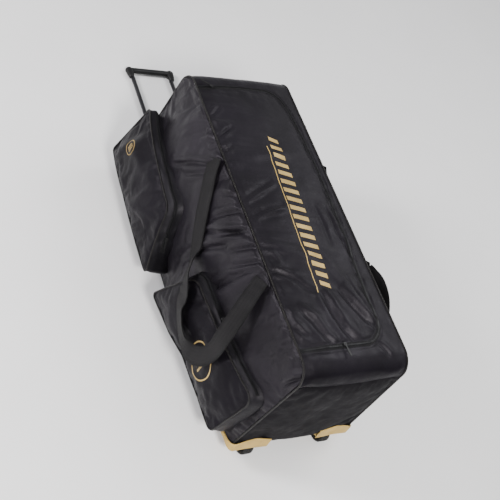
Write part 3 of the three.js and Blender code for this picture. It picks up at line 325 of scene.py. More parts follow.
# The crown of the top and the bow of the ends; v runs from -1 to 1 across the band
def band_swell(x, z, nx, nz, v):
    u, w = x / HALF, 2 * z / HEIGHT - 1
    top = np.maximum(nz, 0) ** 2 * (1 - np.abs(u) ** 6) * TOP_CROWN
    end = nx**2 * np.clip(1 - w**4, 0, None) * END_BULGE
    low = np.maximum(0, -nz) * np.clip(1 - (z - FOOT) / LIP_HEIGHT, 0, 1) ** 4
    base = FOOT * low * np.minimum(1, (1 - np.abs(v)) / 0.07)
    return (1 - v * v) * (top + end) + base


def band_point(s, v, out):
    x, z, nx, nz = band_at(s)
    lift = band_swell(x, z, nx, nz, v) + out
    return np.stack([x + nx * lift, v * (half_width(z) - INSET), z + nz * lift], -1)


# The sides stand out most at half their height
def side_rise(z):
    return np.clip(np.sin(np.pi * np.clip(z, 0, HEIGHT) / HEIGHT), 0, None) ** 0.75


def side_smooth(x, z):
    return half_width(z) + SIDE_BULGE * side_rise(z) * np.clip(1 - (x / HALF) ** 4, 0, None)


def side_surface(x, z, folds=SIDE_FOLDS):
    return side_smooth(x, z) + fold_sum(folds, x / HALF, 2 * z / HEIGHT - 1, HALF, HEIGHT / 2) * side_rise(z)


# The zip's middle line in plan, moved outwards by a distance
FAR_LINE = np.array([(-1, 0.7), (-0.6, 0.79), (-0.2, 0.81), (0.2, 0.75), (0.6, 0.66), (1, 0.62)])
LID_HALF = HALF - LID_INSET


def far_line(x):
    return np.interp(x / LID_HALF, FAR_LINE[:, 0], FAR_LINE[:, 1]) * half_width(HEIGHT)


def zip_line(out):
    span, radius = LID_HALF - LID_CORNER, LID_CORNER + out
    bends = {}
    for end in (-1, 1):
        y_end = far_line(end * LID_HALF) - LID_CORNER
        bends[end] = [(end * (LID_HALF + out), -NEAR_EDGE + (y_end + NEAR_EDGE) * k / 40) for k in range(40)]
        for w in np.arange(25) * math.pi / 48:
            bends[end].append((end * (span + radius * math.cos(w)), y_end + radius * math.sin(w)))
    far = [(x, far_line(x) + out) for x in np.linspace(-span, span, 161)[1:-1]]
    path = np.array(bends[-1] + far + bends[1][::-1])
    for _ in range(6):
        path[1:-1] = (path[:-2] + 2 * path[1:-1] + path[2:]) / 4
    return path


ZIP = zip_line(0)
# Corner numbers of a quad: as seen from its front, from its back, and in a closed tube
FRONT, BACK, TUBE = (0, 1, 2, 3), (3, 2, 1, 0), (0, 3, 2, 1)


# Numbers of a grid's points; a ring repeats the first row and a tube the first column
def index_grid(rows, columns, ring=False, tube=False):
    index = np.arange(rows * columns).reshape(rows, columns)
    if tube:
        index = np.hstack([index, index[:, :1]])
    return np.vstack([index, index[:1]]) if ring else index


def quads(index, order=FRONT):
    corners = index[:-1, :-1], index[1:, :-1], index[1:, 1:], index[:-1, 1:]
    return np.stack([corners[k] for k in order], -1).reshape(-1, 4).tolist()


# Meshes
def finish_object(obj, nodes, material, body=ROOT, smooth=True):
    obj.data.materials.clear()
    obj.data.materials.append(material)
    if smooth:
        obj.data.polygons.foreach_set("use_smooth", [True] * len(obj.data.polygons))
    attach(obj, body)
    if nodes:
        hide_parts(*nodes)
    return obj


def new_object(name, points, faces, uv):
    mesh = bpy.data.meshes.new(name)
    mesh.from_pydata([tuple(p) for p in np.asarray(points, float).reshape(-1, 3) * MM], [], faces)
    mesh.update()
    layer = mesh.uv_layers.new(name="UVMap")
    loops = np.zeros(len(mesh.loops), int)
    mesh.loops.foreach_get("vertex_index", loops)
    layer.data.foreach_set("uv", (np.asarray(uv, float).reshape(-1, 2)[loops] * MM).ravel())
    obj = bpy.data.objects.new(name, mesh)
    bpy.context.scene.collection.objects.link(obj)
    return obj


# Sheet from a grid of points; uv runs in millimetres along the two ways of the grid
def grid_sheet(name, grid, ring=False, order=FRONT, uv=None):
    if uv is None:
        steps = (np.linalg.norm(np.diff(grid, axis=k), axis=2).mean(1 - k) for k in (0, 1))
        u, v = (np.concatenate([[0], np.cumsum(step)]) for step in steps)
        uv = np.stack(np.meshgrid(u, v, indexing="ij"), -1)
    return new_object(name, grid, quads(index_grid(*grid.shape[:2], ring), order), uv)


def border(grid):
    index = index_grid(*grid.shape[:2])
    return sorted(set(np.concatenate([index[:, 0], index[:, -1], index[0], index[-1]]).tolist()))


# Change a mesh through its faces
def reshape(obj, change):
    mesh = bmesh.new()
    mesh.from_mesh(obj.data)
    change(mesh)
    mesh.to_mesh(obj.data)
    mesh.free()


def recalculate(mesh):
    bmesh.ops.recalc_face_normals(mesh, faces=mesh.faces)


# One mesh's points and faces from several, each (points, faces)
def gathered(parts):
    points, faces, count = [], [], 0
    for verts, polys in parts:
        points.append(np.asarray(verts, float))
        faces += [tuple(i + count for i in poly) for poly in polys]
        count += len(verts)
    return np.concatenate(points), faces


def joined(name, parts):
    points, faces = gathered(parts)
    return new_object(name, points, faces, points[:, :2])


def piece(name, parts, nodes, material, body=ROOT, smooth=False):
    finish_object(joined(name, parts), nodes, material, body, smooth)


# Points at a distance out to one side of the bag
def out_to(side, x, y, z):
    return np.stack([x, side * y, z], -1)


# Round cord sewn along the closed edge of a side
def cord(name, points, radius, node):
    sides = 8
    tangent = unit(np.roll(points, -1, 0) - np.roll(points, 1, 0))
    across = unit(np.cross(tangent, [0, 1, 0]))
    top = np.cross(across, tangent)
    w = 2 * np.pi * np.arange(sides) / sides
    grid = points[:, None] + radius * (np.cos(w)[:, None] * across[:, None] + np.sin(w)[:, None] * top[:, None])
    uv = np.stack(np.broadcast_arrays(run_of(points)[:, None], w * radius), -1)
    faces = quads(index_grid(len(points), sides, ring=True, tube=True), TUBE)
    finish_object(new_object(name, grid, faces, uv), [node], BINDING)


# Material with the helpers that build its nodes; a value is a number, a colour or a socket
class Paint:
    def __init__(self, name):
        self.material = bpy.data.materials.new(name)
        self.material.use_nodes = True
        self.tree = self.material.node_tree
        self.shader = next(n for n in self.tree.nodes if n.type == "BSDF_PRINCIPLED")
        self.flat, self.solid = (self.add("TexCoord", {}, output) for output in ("UV", "Object"))

    def put(self, socket, value):
        if isinstance(value, bpy.types.NodeSocket):
            self.tree.links.new(value, socket)
        else:
            socket.default_value = (*value, 1) if isinstance(value, tuple) else value

    def new(self, kind, inputs, **settings):
        node = self.tree.nodes.new("ShaderNode" + kind)
        for key, value in settings.items():
            setattr(node, key, value)
        for key, value in inputs.items():
            self.put(node.inputs[key], value)
        return node

    def add(self, kind, inputs, output, **settings):
        return self.new(kind, inputs, **settings).outputs[output]

    def shade(self, **values):
        for key, value in values.items():
            self.put(self.shader.inputs[key.replace("_", " ")], value)

    def noise(self, place, scale, detail=3.0, roughness=0.55):
        inputs = {"Vector": place, "Scale": scale, "Detail": detail, "Roughness": roughness}
        return self.add("TexNoise", inputs, "Fac")

    def ramp(self, value, low, high, dark, light):
        node = self.new("ValToRGB", {"Fac": value})
        for stop, position, color in zip(node.color_ramp.elements, (low, high), (dark, light)):
            stop.position = position
            stop.color = (*color, 1)
        return node.outputs["Color"]

    def between(self, value, from_low, from_high, to_low, to_high):
        return self.add("MapRange", {"Value": value, "From Min": from_low, "From Max": from_high,
                                     "To Min": to_low, "To Max": to_high}, "Result")

    def mix(self, fac, a, b, mode="MULTIPLY"):
        node = self.new("Mix", {}, data_type="RGBA", blend_type=mode)
        for socket, value in zip([s for s in node.inputs if s.enabled], (fac, a, b)):
            self.put(socket, value)
        return next(o for o in node.outputs if o.enabled)

    def math(self, operation, *values):
        return self.add("Math", dict(enumerate(values)), "Value", operation=operation)

    def axis(self, place, letter):
        return self.add("SeparateXYZ", {0: place}, letter)

    def bump(self, height, strength, distance, below=None):
        inputs = {"Strength": strength, "Distance": distance, "Height": height}
        return self.add("Bump", inputs if below is None else {**inputs, "Normal": below}, "Normal")

    def wave(self, place, period, direction, distortion=0.0):
        inputs = {"Vector": place, "Scale": math.pi / (10 * period), "Distortion": distortion, "Detail": 0.0}
        return self.add("TexWave", inputs, "Fac", wave_type="BANDS", bands_direction=direction, wave_profile="SIN")


def grey(value):
    return (value, value, value)


def cloth_material(name, dark, light, weave=0.0011, rough=(0.36, 0.52), crinkle=1.0, sheen=0.015, specular=0.85,
                   dim=None):
    p = Paint(name)
    tone = p.ramp(p.noise(p.solid, 7.0), 0.35, 0.68, dark, light)
    speck = p.ramp(p.noise(p.flat, 620.0, 2.0), 0.35, 0.7, grey(0.72), (1.25, 1.24, 1.28))
    p.shade(Base_Color=p.mix(1.0, tone, speck), Roughness=p.between(p.noise(p.solid, 38.0, 4.0), 0.3, 0.7, *rough),
            Sheen_Weight=sheen, Sheen_Roughness=0.45, Sheen_Tint=(0.86, 0.83, 0.95), Specular_IOR_Level=specular,
            Specular_Tint=(0.98, 0.93, 1.0), IOR=1.2)
    if dim:
        p.shade(Specular_IOR_Level=p.between(p.axis(p.solid, "X"), *dim, specular, 0.12))
    normal = p.bump(p.noise(p.solid, 46.0, 5.0, 0.6), 0.5 * crinkle, 0.0021)
    normal = p.bump(p.noise(p.solid, 170.0), 0.35 * crinkle, 0.0009, normal)
    woven = p.math("MULTIPLY", p.wave(p.flat, weave, "X"), p.wave(p.flat, weave, "Y"))
    p.shade(Normal=p.bump(woven, 0.35, 0.00022, normal))
    return p.material


def webbing_material(name, dark, light, rib=0.0022, specular=0.16, rough=(0.58, 0.78), edge=None):
    p = Paint(name)
    ribs = p.wave(p.flat, rib, "X", 0.4)
    threads = p.wave(p.flat, rib * 0.6, "Y", 0.6)
    tone = p.ramp(p.noise(p.flat, 30.0), 0.3, 0.7, dark, light)
    # Painted shade: a band along each edge of the webbing is darkened to 0.45 of its tone, standing in for the shade
    # along the strap's thick edges
    if edge:
        off = p.math("ABSOLUTE", p.axis(p.flat, "Y"))
        tone = p.mix(1.0, tone, p.between(off, *edge, 1.0, 0.45))
        tone = p.mix(1.0, tone, p.ramp(p.wave(p.flat, 0.0085, "Y", 0.2), 0.0, 1.0, grey(0.8), (1.2, 1.19, 1.18)))
    p.shade(Base_Color=p.mix(1.0, tone, p.ramp(ribs, 0.0, 1.0, grey(0.62), grey(1.12))),
            Roughness=p.between(p.noise(p.flat, 420.0), 0.3, 0.7, *rough),
            Sheen_Weight=0.02, Sheen_Roughness=0.5, Specular_IOR_Level=specular)
    height = p.math("ADD", p.math("MULTIPLY", ribs, 0.8), p.math("MULTIPLY", threads, 0.35))
    p.shade(Normal=p.bump(height, 0.8, 0.0007))
    return p.material


def plastic_material(name, dark, light, rough, grain=900.0, wear=None, metallic=0.0):
    p = Paint(name)
    color = p.ramp(p.noise(p.solid, 24.0, 4.0), 0.32, 0.68, dark, light)
    if wear:
        edge = p.between(p.add("NewGeometry", {}, "Pointiness"), 0.51, 0.58, 0.0, 0.55)
        color = p.mix(p.math("MULTIPLY", edge, p.noise(p.solid, 210.0)), color, wear, "MIX")
    normal = p.bump(p.noise(p.solid, grain, 2.0), 0.3, 0.0002)
    p.shade(Base_Color=color, Roughness=p.between(p.noise(p.solid, 60.0, 4.0), 0.3, 0.7, *rough), Metallic=metallic,
            Specular_IOR_Level=0.25, Normal=p.bump(p.noise(p.solid, 90.0, 2.0), 0.15, 0.0005, normal))
    return p.material


CLOTH = cloth_material("cloth_main", (0.0068, 0.0058, 0.0076), (0.0126, 0.0108, 0.0142))
TOP = cloth_material("cloth_top", (0.0052, 0.0045, 0.006), (0.0095, 0.0082, 0.011), dim=(0.425, 0.444))
HEAVY = cloth_material("cloth_heavy", (0.005, 0.0045, 0.0055), (0.0088, 0.0082, 0.0096), weave=0.0017,
                       rough=(0.62, 0.8), sheen=0.0, specular=0.35)
POCKET = cloth_material("cloth_pocket", (0.0043, 0.0037, 0.005), (0.0076, 0.0066, 0.0088), crinkle=0.8, specular=0.4)
GUSSET = cloth_material("cloth_gusset", (0.004, 0.0037, 0.0046), (0.0082, 0.0077, 0.0094), rough=(0.42, 0.56))
# Black webbing of the straps and haul handle, with painted shade along both edges
WEBBING = webbing_material("webbing_black", (0.0054, 0.0049, 0.0057), (0.0105, 0.0096, 0.0108), edge=(0.0165, 0.021))
BINDING = webbing_material("binding_tape", (0.0062, 0.0054, 0.0055), (0.0125, 0.0106, 0.0098), rib=0.0012,
                           specular=0.24, rough=(0.3, 0.42))
TAPE = webbing_material("zip_tape", (0.006, 0.0056, 0.0066), (0.011, 0.0104, 0.0122), rib=0.001)
THREAD = webbing_material("thread", (0.012, 0.0112, 0.013), (0.027, 0.025, 0.029), rib=0.0006)
TEETH = plastic_material("zip_teeth", (0.0045, 0.0045, 0.005), (0.009, 0.009, 0.01), (0.3, 0.45))
BLACK = plastic_material("black_moulded", (0.0055, 0.0054, 0.0058), (0.0105, 0.0103, 0.011), (0.34, 0.5),
                         wear=(0.05, 0.048, 0.05))
GOLD = plastic_material("gold_moulded", (0.42, 0.275, 0.07), (0.55, 0.37, 0.105), (0.42, 0.6), wear=(0.74, 0.56, 0.26))
RUBBER = plastic_material("wheel_rubber", (0.007, 0.007, 0.0073), (0.014, 0.0137, 0.0134), (0.6, 0.85), grain=500.0,
                          wear=(0.04, 0.037, 0.034))
HUB = plastic_material("wheel_hub", (0.008, 0.008, 0.0086), (0.015, 0.015, 0.016), (0.35, 0.5))
TUBE_METAL = plastic_material("tube_metal", (0.03, 0.029, 0.033), (0.05, 0.049, 0.055), (0.28, 0.42), metallic=0.75)
STEEL = plastic_material("steel_pin", (0.3, 0.3, 0.31), (0.45, 0.45, 0.46), (0.25, 0.4), metallic=1.0)
PRINT = plastic_material("gold_print", (0.33, 0.225, 0.07), (0.46, 0.325, 0.12), (0.42, 0.62), grain=1400.0)

# Camera: fitted to the body's corners
CAMERA_AT = (1.056255, -1.240304, 1.816535)
CAMERA_ROWS = (
    (0.313609, 0.845875, 0.431406),
    (0.826569, -0.019570, -0.562496),
    (-0.467360, 0.532989, -0.705308),
)
FOCAL_PX = 876.97
PHOTO_PX = 500.0
SENSOR_MM = 36.0
camera_data = bpy.data.cameras.new("camera")
camera = bpy.data.objects.new("camera", camera_data)
bpy.context.scene.collection.objects.link(camera)
right, down, ahead = (Vector(row) for row in CAMERA_ROWS)
camera.matrix_world = Matrix.Translation(CAMERA_AT) @ Matrix((right, -down, -ahead)).transposed().to_4x4()
camera_data.sensor_fit = "HORIZONTAL"
camera_data.sensor_width = SENSOR_MM
camera_data.lens = FOCAL_PX / PHOTO_PX * SENSOR_MM
camera_data.clip_end = 50.0
bpy.context.scene.camera = camera

# Light and floor; a lamp is its name, place, aim, size, power and colour
LAMPS = [
    ("key", (2.1, -0.9, 2.5), (0.1, 0, 0.2), 0.7, 110, (1.0, 0.98, 0.96)),
    ("left", (-0.9, -2.6, 1.8), (0, 0, 0.2), 0.8, 88, (1.0, 0.98, 1.0)),
    ("top", (-0.5, 2.0, 2.8), (0, 0, 0.2), 1.8, 48, (0.97, 0.98, 1.0)),
]
for name, at, aim, size, power, color in LAMPS:
    data = bpy.data.lights.new(name, "AREA")
    data.shape = "DISK"
    data.size = size
    data.energy = power
    data.color = color
    lamp = bpy.data.objects.new(name, data)
    bpy.context.scene.collection.objects.link(lamp)
    lamp.location = at
    lamp.rotation_euler = (Vector(aim) - Vector(at)).to_track_quat("-Z", "Y").to_euler()
world = bpy.data.worlds.new("world")
bpy.context.scene.world = world
world.use_nodes = True
backdrop = next(n for n in world.node_tree.nodes if n.type == "BACKGROUND")
backdrop.inputs["Color"].default_value = (0.93, 0.93, 0.94, 1)
backdrop.inputs["Strength"].default_value = 0.6

FLOOR_HALF = 9000.0
x, y = np.meshgrid([-FLOOR_HALF, 0, FLOOR_HALF], [-FLOOR_HALF, 0, FLOOR_HALF], indexing="ij")
floor = grid_sheet("floor", np.stack([x, y, 0 * x], -1))
paint = Paint("floor_paint")
grain = paint.noise(paint.solid, 3.0, 2.0)
paint.shade(Base_Color=paint.ramp(grain, 0.3, 0.7, grey(0.9), grey(0.93)), Roughness=0.9)
floor.data.materials.append(paint.material)

# Cloth that is let go between its seams: held points stay, the rest swells and creases a little
SETTLE_FRAMES = 16
CLOTH_SETTINGS = {
    "quality": 5, "mass": 0.25, "tension_stiffness": 18, "compression_stiffness": 18, "shear_stiffness": 8,
    "bending_stiffness": 0.4, "air_damping": 4, "vertex_group_mass": "held", "pin_stiffness": 20,
    "use_pressure": True,
}
cloths = []


def let_go(obj, grid, cap, shrink, pressure):
    cloths.append((obj, border(grid), cap * MM, shrink, pressure))


def points_of(mesh):
    co = np.zeros(len(mesh.vertices) * 3)
    mesh.vertices.foreach_get("co", co)
    return co.reshape(-1, 3)


# Let the cloths go, and keep each point's shift within its cap
def settle():
    for obj, held, cap, shrink, pressure in cloths:
        obj.vertex_groups.new(name="held").add(held, 1.0, "REPLACE")
        mod = obj.modifiers.new("cloth", "CLOTH")
        for key, value in CLOTH_SETTINGS.items():
            setattr(mod.settings, key, value)
        mod.settings.shrink_min = shrink
        mod.settings.shrink_max = shrink
        mod.settings.uniform_pressure_force = pressure
        mod.settings.effector_weights.gravity = 0
        mod.collision_settings.use_collision = False
        mod.collision_settings.use_self_collision = False
        mod.point_cache.frame_start = 1
        mod.point_cache.frame_end = SETTLE_FRAMES
    for number in range(1, SETTLE_FRAMES + 1):
        bpy.context.scene.frame_set(number)
    graph = bpy.context.evaluated_depsgraph_get()
    settled = []
    for obj, *_ in cloths:
        settled.append(points_of(obj.evaluated_get(graph).to_mesh()))
        obj.evaluated_get(graph).to_mesh_clear()
    for (obj, _, cap, *_), moved in zip(cloths, settled):
        base = points_of(obj.data)
        shift = moved - base
        size = np.linalg.norm(shift, axis=1)[:, None]
        shift *= np.where(size > 1e-9, cap * np.tanh(size / cap) / np.maximum(size, 1e-9), 0)
        obj.modifiers.clear()
        obj.data.vertices.foreach_set("co", (base + shift).ravel())
        obj.data.update()
    bpy.context.scene.frame_set(1)


# Side panels
EDGE, _ = rounded(body_turns(INSET))


# Lowest and highest level of the side panel's outline at a place along it
def levels_at(x):
    hits = []
    for (px, pz), (qx, qz) in zip(EDGE, np.roll(EDGE, -1, 0)):
        if abs(qx - px) >= 1e-6 and -1e-7 < (x - px) / (qx - px) < 1 + 1e-7:
            hits.append(pz + (qz - pz) * ((x - px) / (qx - px)))
    return min(hits), max(hits)


def side_relief(x, z, low, high, seed):
    top, bottom = high - z, z - low
    ends = np.minimum(x + HALF - INSET, HALF - INSET - x)
    relief = 4.8 * gather(x, top, seed, 23, 60, 0.3) + 2.0 * gather(x, bottom, seed + 11, 30, 40)
    relief = relief + 2.4 * gather(z, ends, seed + 23, 22, 40, 0.4)
    hold = np.clip(np.minimum(np.minimum(top, bottom), ends) / 26, 0, 1)
    slow = 2.4 * noise(x / 80 + z / 160, z / 64, seed + 31)
    return relief + hold * (slow + 0.8 * noise(x / 34, z / 30 + x / 80, seed + 37))


def side_panel(word, side):
    columns, rows = SIDE_GRID[side]
    x_low, x_high = EDGE[:, 0].min(), EDGE[:, 0].max()
    reach = np.pi / 2 * 0.985
    crowded = np.sin(np.linspace(-1, 1, columns) * reach) / math.sin(reach)
    xs = (x_low + x_high) / 2 + (x_high - x_low) / 2 * crowded
    low, high = np.array([levels_at(x) for x in xs]).T[..., None]
    even = np.linspace(0, 1, rows)
    z = low + (high - low) * ((1 - np.cos(np.pi * even)) / 2 * 0.5 + even * 0.5)
    x = np.repeat(xs[:, None], rows, 1)
    y = side_surface(x, z) + side_relief(x, z, low, high, 100 if side < 0 else 300)
    if side < 0:
        y = y + 2.2 * creases(SIDE_CREASES, x, z) * np.clip((high - z) / 8, 0, 1)
    grid = out_to(side, x, y, z)
    obj = grid_sheet(f"side_cloth_{word}", grid, order=FRONT if side < 0 else BACK, uv=np.stack([x, z], -1))
    let_go(obj, grid, 7.0, -0.018, -0.35 * side)
    finish_object(obj, [f"side_panel_{word}"], CLOTH)


# The border cloth sags over the wheel end's seam: above is the distance up from that seam
def overhang(above, v):
    ridge = 36 + 5 * noise(v * 3 + 2, 0 * v, 590)
    low = -5 + 9 * np.clip(above / ridge, 0, 1) ** 1.3
    high = 4 * np.exp(-((above - ridge) / 20) ** 2)
    sag = np.where(above < ridge, low, high) * np.where(above < 0, np.exp(above / 9), 1)
    return sag * np.clip((1 - np.abs(v)) * 7, 0, 1)


# Top cloth from end seam to end seam: lid, zip channel and border
def top_relief(s, v):
    nz = band_at(s)[3]
    x, y = s - S_TOP - HALF + END_CORNER, v * NEAR_EDGE
    off, place = nearest(ZIP, x, y)
    lid = off < 0
    seam = y + NEAR_EDGE
    beside = np.abs(off) - CHANNEL
    flat = np.clip((nz - 0.9) / 0.1, 0, 1)
    u = np.clip(x / HALF, -1.05, 1.05)
    relief = fold_sum(LID_FOLDS, u, v, HALF, TOP_WIDTH / 2) * np.minimum(1, 4 * (1 - np.abs(v))) * flat
    relief = relief + 1.4 * creases(LID_CREASES, x, y) * flat
    relief = relief + 4.6 * gather(x, seam, 500, 22, 64, -0.25) * np.where(lid, 1, 0.6)
    relief = relief + 2.0 * gather(x, NEAR_EDGE - y, 520, 30, 26)
    relief = relief + np.where(lid, 1, 0.6) * 2.6 * gather(place, beside, 540, 26, 30)
    hold = np.clip(seam / 30, 0, 1) * np.clip(beside / 24, 0, 1) * np.where(lid, 1.0, 0.5)
    slow = 1.3 * noise(x / 90, y / 52 + x / 220, 560) + 0.5 * noise(x / 38, y / 30 + x / 90, 570)
    relief = relief + hold * slow
    relief = relief + np.where(lid, 3.2, 1.2) * (1 - np.exp(-np.clip(beside, 0, None) / 9))
    relief = relief * np.clip((1 - np.abs(v)) * 12, 0, 1)
    relief = relief - 2.2 * np.exp(-((np.abs(off) - 8.2) / 1.9) ** 2)
    return relief + overhang(on_wheel_end(SEAM_LEVEL) - s, v)


def end_relief(s, v, seed):
    x, z = band_at(s)[:2]
    seam = np.abs(SEAM_LEVEL - z)
    side = (1 - np.abs(v)) * 170
    out = 2.0 * gather(v * 165, seam, seed, 26, 36) + 1.6 * gather(z, side, seed + 3, 24, 34)
    hold = np.clip(np.minimum(seam, side) / 26, 0, 1)
    out = out + hold * (1.8 * noise(v * 1.8, z / 75, seed + 7) + 0.8 * noise(v * 5, z / 34, seed + 9))
    out = out * np.clip((z - 6) / 40, 0, 1)
    return out + np.where(x > 0, overhang(z - SEAM_LEVEL, v), 0)


def wheel_end_relief(s, v):
    return end_relief(s, v, 700)


def no_relief(s, v):
    return 0 * s


# Cloth of the band from one place to another, with the steps of its grid
def band_cloth(name, s0, s1, step_s, step_v, relief, nodes, material):
    s = np.linspace(s0, s1, int((s1 - s0) / step_s) + 1)[:, None]
    s, v = np.broadcast_arrays(s, np.linspace(-1, 1, int(2 * half_width(0) / step_v)))
    grid = band_point(s, v, relief(s, v))
    obj = grid_sheet(name, grid, uv=np.stack([s, v * V_SPAN], -1))
    return finish_object(obj, nodes, material), grid


# Handle end: the cloth is cut away round the trolley collar
COLLAR_HALF = 83.35
COLLAR_TOP = 21.5


def cut_collar(mesh):
    gone = []
    for face in mesh.faces:
        at = face.calc_center_median() / MM
        if at.z < COLLAR_TOP - 0.2 and abs(at.y) < COLLAR_HALF - 1:
            gone.append(face)
    bmesh.ops.delete(mesh, geom=gone, context="FACES")


def handle_end():
    v_cut = COLLAR_HALF / (half_width(12) - INSET)
    corner = slice(MARKS[0][0], MARKS[0][1] + 1)
    s_cut = float(np.interp(COLLAR_TOP, BAND[corner, 1], BAND_S[corner]))
    s = np.concatenate([np.linspace(0, s_cut, 7), np.linspace(s_cut, on_handle_end(SEAM_LEVEL - 1), 66)[1:]])
    v = np.concatenate([np.linspace(-1.008, -v_cut, 18), np.linspace(-v_cut, v_cut, 30)[1:],
                        np.linspace(v_cut, 1.008, 18)[1:]])
    s, v = np.broadcast_arrays(s[:, None], v)
    relief = end_relief(s, v, 820)
    z = band_at(s)[1]
    # The cloth lies flat under the haul handle
    away = np.hypot(np.maximum(np.abs(v * 160) - 95, 0), np.maximum(np.abs(z - HAUL_LEVEL) - 14, 0))
    relief = relief - np.clip(1.6 - away / 22, 0, 1) * (np.maximum(relief, 0) + 0.3)
    obj = grid_sheet("end_cloth_handle", band_point(s, v, relief), uv=np.stack([s, v * V_SPAN], -1))
    reshape(obj, cut_collar)
    finish_object(obj, ["end_panel_handle"], HEAVY)


# Points on the top cloth over a line in plan
def on_cloth(line, out):
    s, v = on_top(line[:, 0]), line[:, 1] / NEAR_EDGE
    return band_point(s, v, top_relief(s, v) + out)


for word, side in SIDES:
    side_panel(word, side)
top_cloth, _ = band_cloth("top_cloth", on_handle_end(SEAM_LEVEL), on_wheel_end(SEAM_LEVEL), 3.4, 3.6, top_relief,
                          ["lid_panel", "top_gusset"], TOP)
end_wheel, wheel_grid = band_cloth("end_cloth_wheel", on_wheel_end(SEAM_LEVEL - 1), S_LIP + 8, 5, 5,
                                   wheel_end_relief, ["end_panel_wheel"], HEAVY)
let_go(end_wheel, wheel_grid, 5.0, -0.014, 0.3)
band_cloth("base_cloth", S_LIP + 8, BAND_S[-1], 6, 8, no_relief, ["base_panel"], HEAVY)
edge, _ = rounded(body_turns(0), steps=10, step=12.0)
for word, side in SIDES:
    points = out_to(side, edge[:, 0], half_width(edge[:, 1]), edge[:, 1])
    cord(f"piping_cord_{word}", points, PIPING, f"piping_{word}")
LID_TAPE = ((-7.4, 0.2), (-3, 0.9), (0, 1.0), (3, 0.9), (7.4, 0.2))
tape = grid_sheet("lid_zip_tape", np.stack([on_cloth(zip_line(out), lift) for out, lift in LID_TAPE], 1))
finish_object(tape, ["lid_zip"], TAPE)
handle_end()

# Pockets: corners (x, z, radius) in shares of half the length, the height and the pocket's depth
POCKETS = {
    "handle_end": {
        "seam": [(-0.978, 0.13, 0.2), (-0.978, 0.6, 0.4), (-0.27, 0.615, 0.8), (-0.07, 0.125, 0.25)],
        "front": [(-1.004, 0.178, 0.16), (-1.004, 0.615, 0.24), (-0.285, 0.56, 0.8), (-0.07, 0.165, 0.2)],
        "reach": [(0, 0.7, 1.24), (0.5, 0.62, 1.12), (1, 0.62, 1.16)],
        "zip": (7, 20, 19),
    },
    "wheel_end": {
        "seam": [(0.05, 0.13, 0.3), (0.15, 0.635, 0.8), (0.965, 0.65, 0.5), (0.94, 0.178, 0.3)],
        "front": [(0.058, 0.178, 0.2), (0.205, 0.612, 0.7), (0.942, 0.62, 0.5), (0.925, 0.19, 0.35)],
        "reach": [(0, 0.7, 1.14), (0.3, 0.62, 0.92), (0.46, 0.58, 0.66), (0.75, 0.54, 0.66), (1, 0.52, 0.84)],
        "zip": (7, 16, 11),
    },
}
ARC_STEPS = 9
RUN_PIECES = (3, 6, 3, 6)
RUN_STEPS = 12
ZIP_MIDDLE = 0.55
ZIP_REACH = ZIP_WIDTH / POCKET_DEPTH / 2
# Across a pocket's zip tape: the places in half widths and the lift of each
TAPE_ACROSS = np.array([-1, -0.86, -0.8, -0.3, 0, 0.3, 0.8, 0.86, 1])
TAPE_LIFT = np.array([0.2, 1.1, 0.7, 0.8, 0.9, 0.8, 0.7, 1.1, 0.2])
FRONT_STITCH = 3.6


# Outline of a pocket's seam or front, moved in by a distance
def pocket_path(corners, inset):
    points = [np.array([c[0] * HALF, c[1] * HEIGHT]) for c in corners]
    turns = []
    for i, corner in enumerate(corners):
        a = unit(points[i] - points[i - 1])
        b = unit(points[(i + 1) % 4] - points[i])
        inward = unit(np.array([a[1] + b[1], -a[0] - b[0]]))
        at = points[i] + inward * inset / abs(inward @ np.array([b[1], -b[0]]))
        turns.append((at[0], at[1], corner[2] * POCKET_DEPTH - inset))
    return rounded(turns, ARC_STEPS, [n * RUN_STEPS for n in RUN_PIECES])


def inward_of(path):
    d = unit(np.roll(path, -1, 0) - np.roll(path, 1, 0))
    return np.stack([d[:, 1], -d[:, 0]], 1)


# Place on a pocket's front in shares, from its first corner to its third
def front_share(shape, x, z):
    low, high = shape["front"][0], shape["front"][2]
    return (x / HALF - low[0]) / (high[0] - low[0]), (z / HEIGHT - low[1]) / (high[1] - low[1])


# Distance of a pocket's front from the bag's middle plane
def pocket_face(shape, x, z):
    u, v = front_share(shape, x, z)
    v = np.clip(v, 0, 1)
    reach = np.array(shape["reach"])
    top, bottom = np.moveaxis(sample(u, reach[:, 0], reach[:, 1:]), -1, 0)
    crown = POCKET_CROWN * np.clip(1 - (2 * v - 1) ** 2, 0, None) * np.clip(1 - (2 * u - 1) ** 4, 0, None)
    return side_smooth(x, z) + POCKET_DEPTH * (bottom + (top - bottom) * v) + crown


# Place on the fine path of a place counted on the solid's path
def fine_index(i):
    coarse, fine = 0, 0
    for pieces in RUN_PIECES:
        if i <= coarse + 3:
            return fine + 3 * (i - coarse)
        if i <= coarse + 3 + pieces:
            return fine + ARC_STEPS + RUN_STEPS * (i - coarse - 3)
        coarse += 3 + pieces
        fine += ARC_STEPS + RUN_STEPS * pieces
    return fine


# Grid of points inside a closed path with four corners
def patch(path, marks, columns, rows):
    m = [mark[0] + ARC_STEPS // 2 for mark in marks]
    loop = np.vstack([path, path[:m[0] + 1]])
    left, top = resample(loop[m[0]:m[1] + 1], rows), resample(loop[m[1]:m[2] + 1], columns)
    right, bottom = resample(loop[m[2]:m[3] + 1], rows)[::-1], resample(loop[m[3]:], columns)[::-1]
    u = np.linspace(0, 1, columns)[:, None, None]
    v = np.linspace(0, 1, rows)[None, :, None]
    corners = (1 - u) * (1 - v) * left[0] + (1 - u) * v * left[-1] + u * (1 - v) * right[0] + u * v * right[-1]
    return (1 - u) * left[None] + u * right[None] + (1 - v) * bottom[:, None] + v * top[:, None] - corners


def mirrored(half):
    return half + [(x, -y) for x, y in half[::-1]]


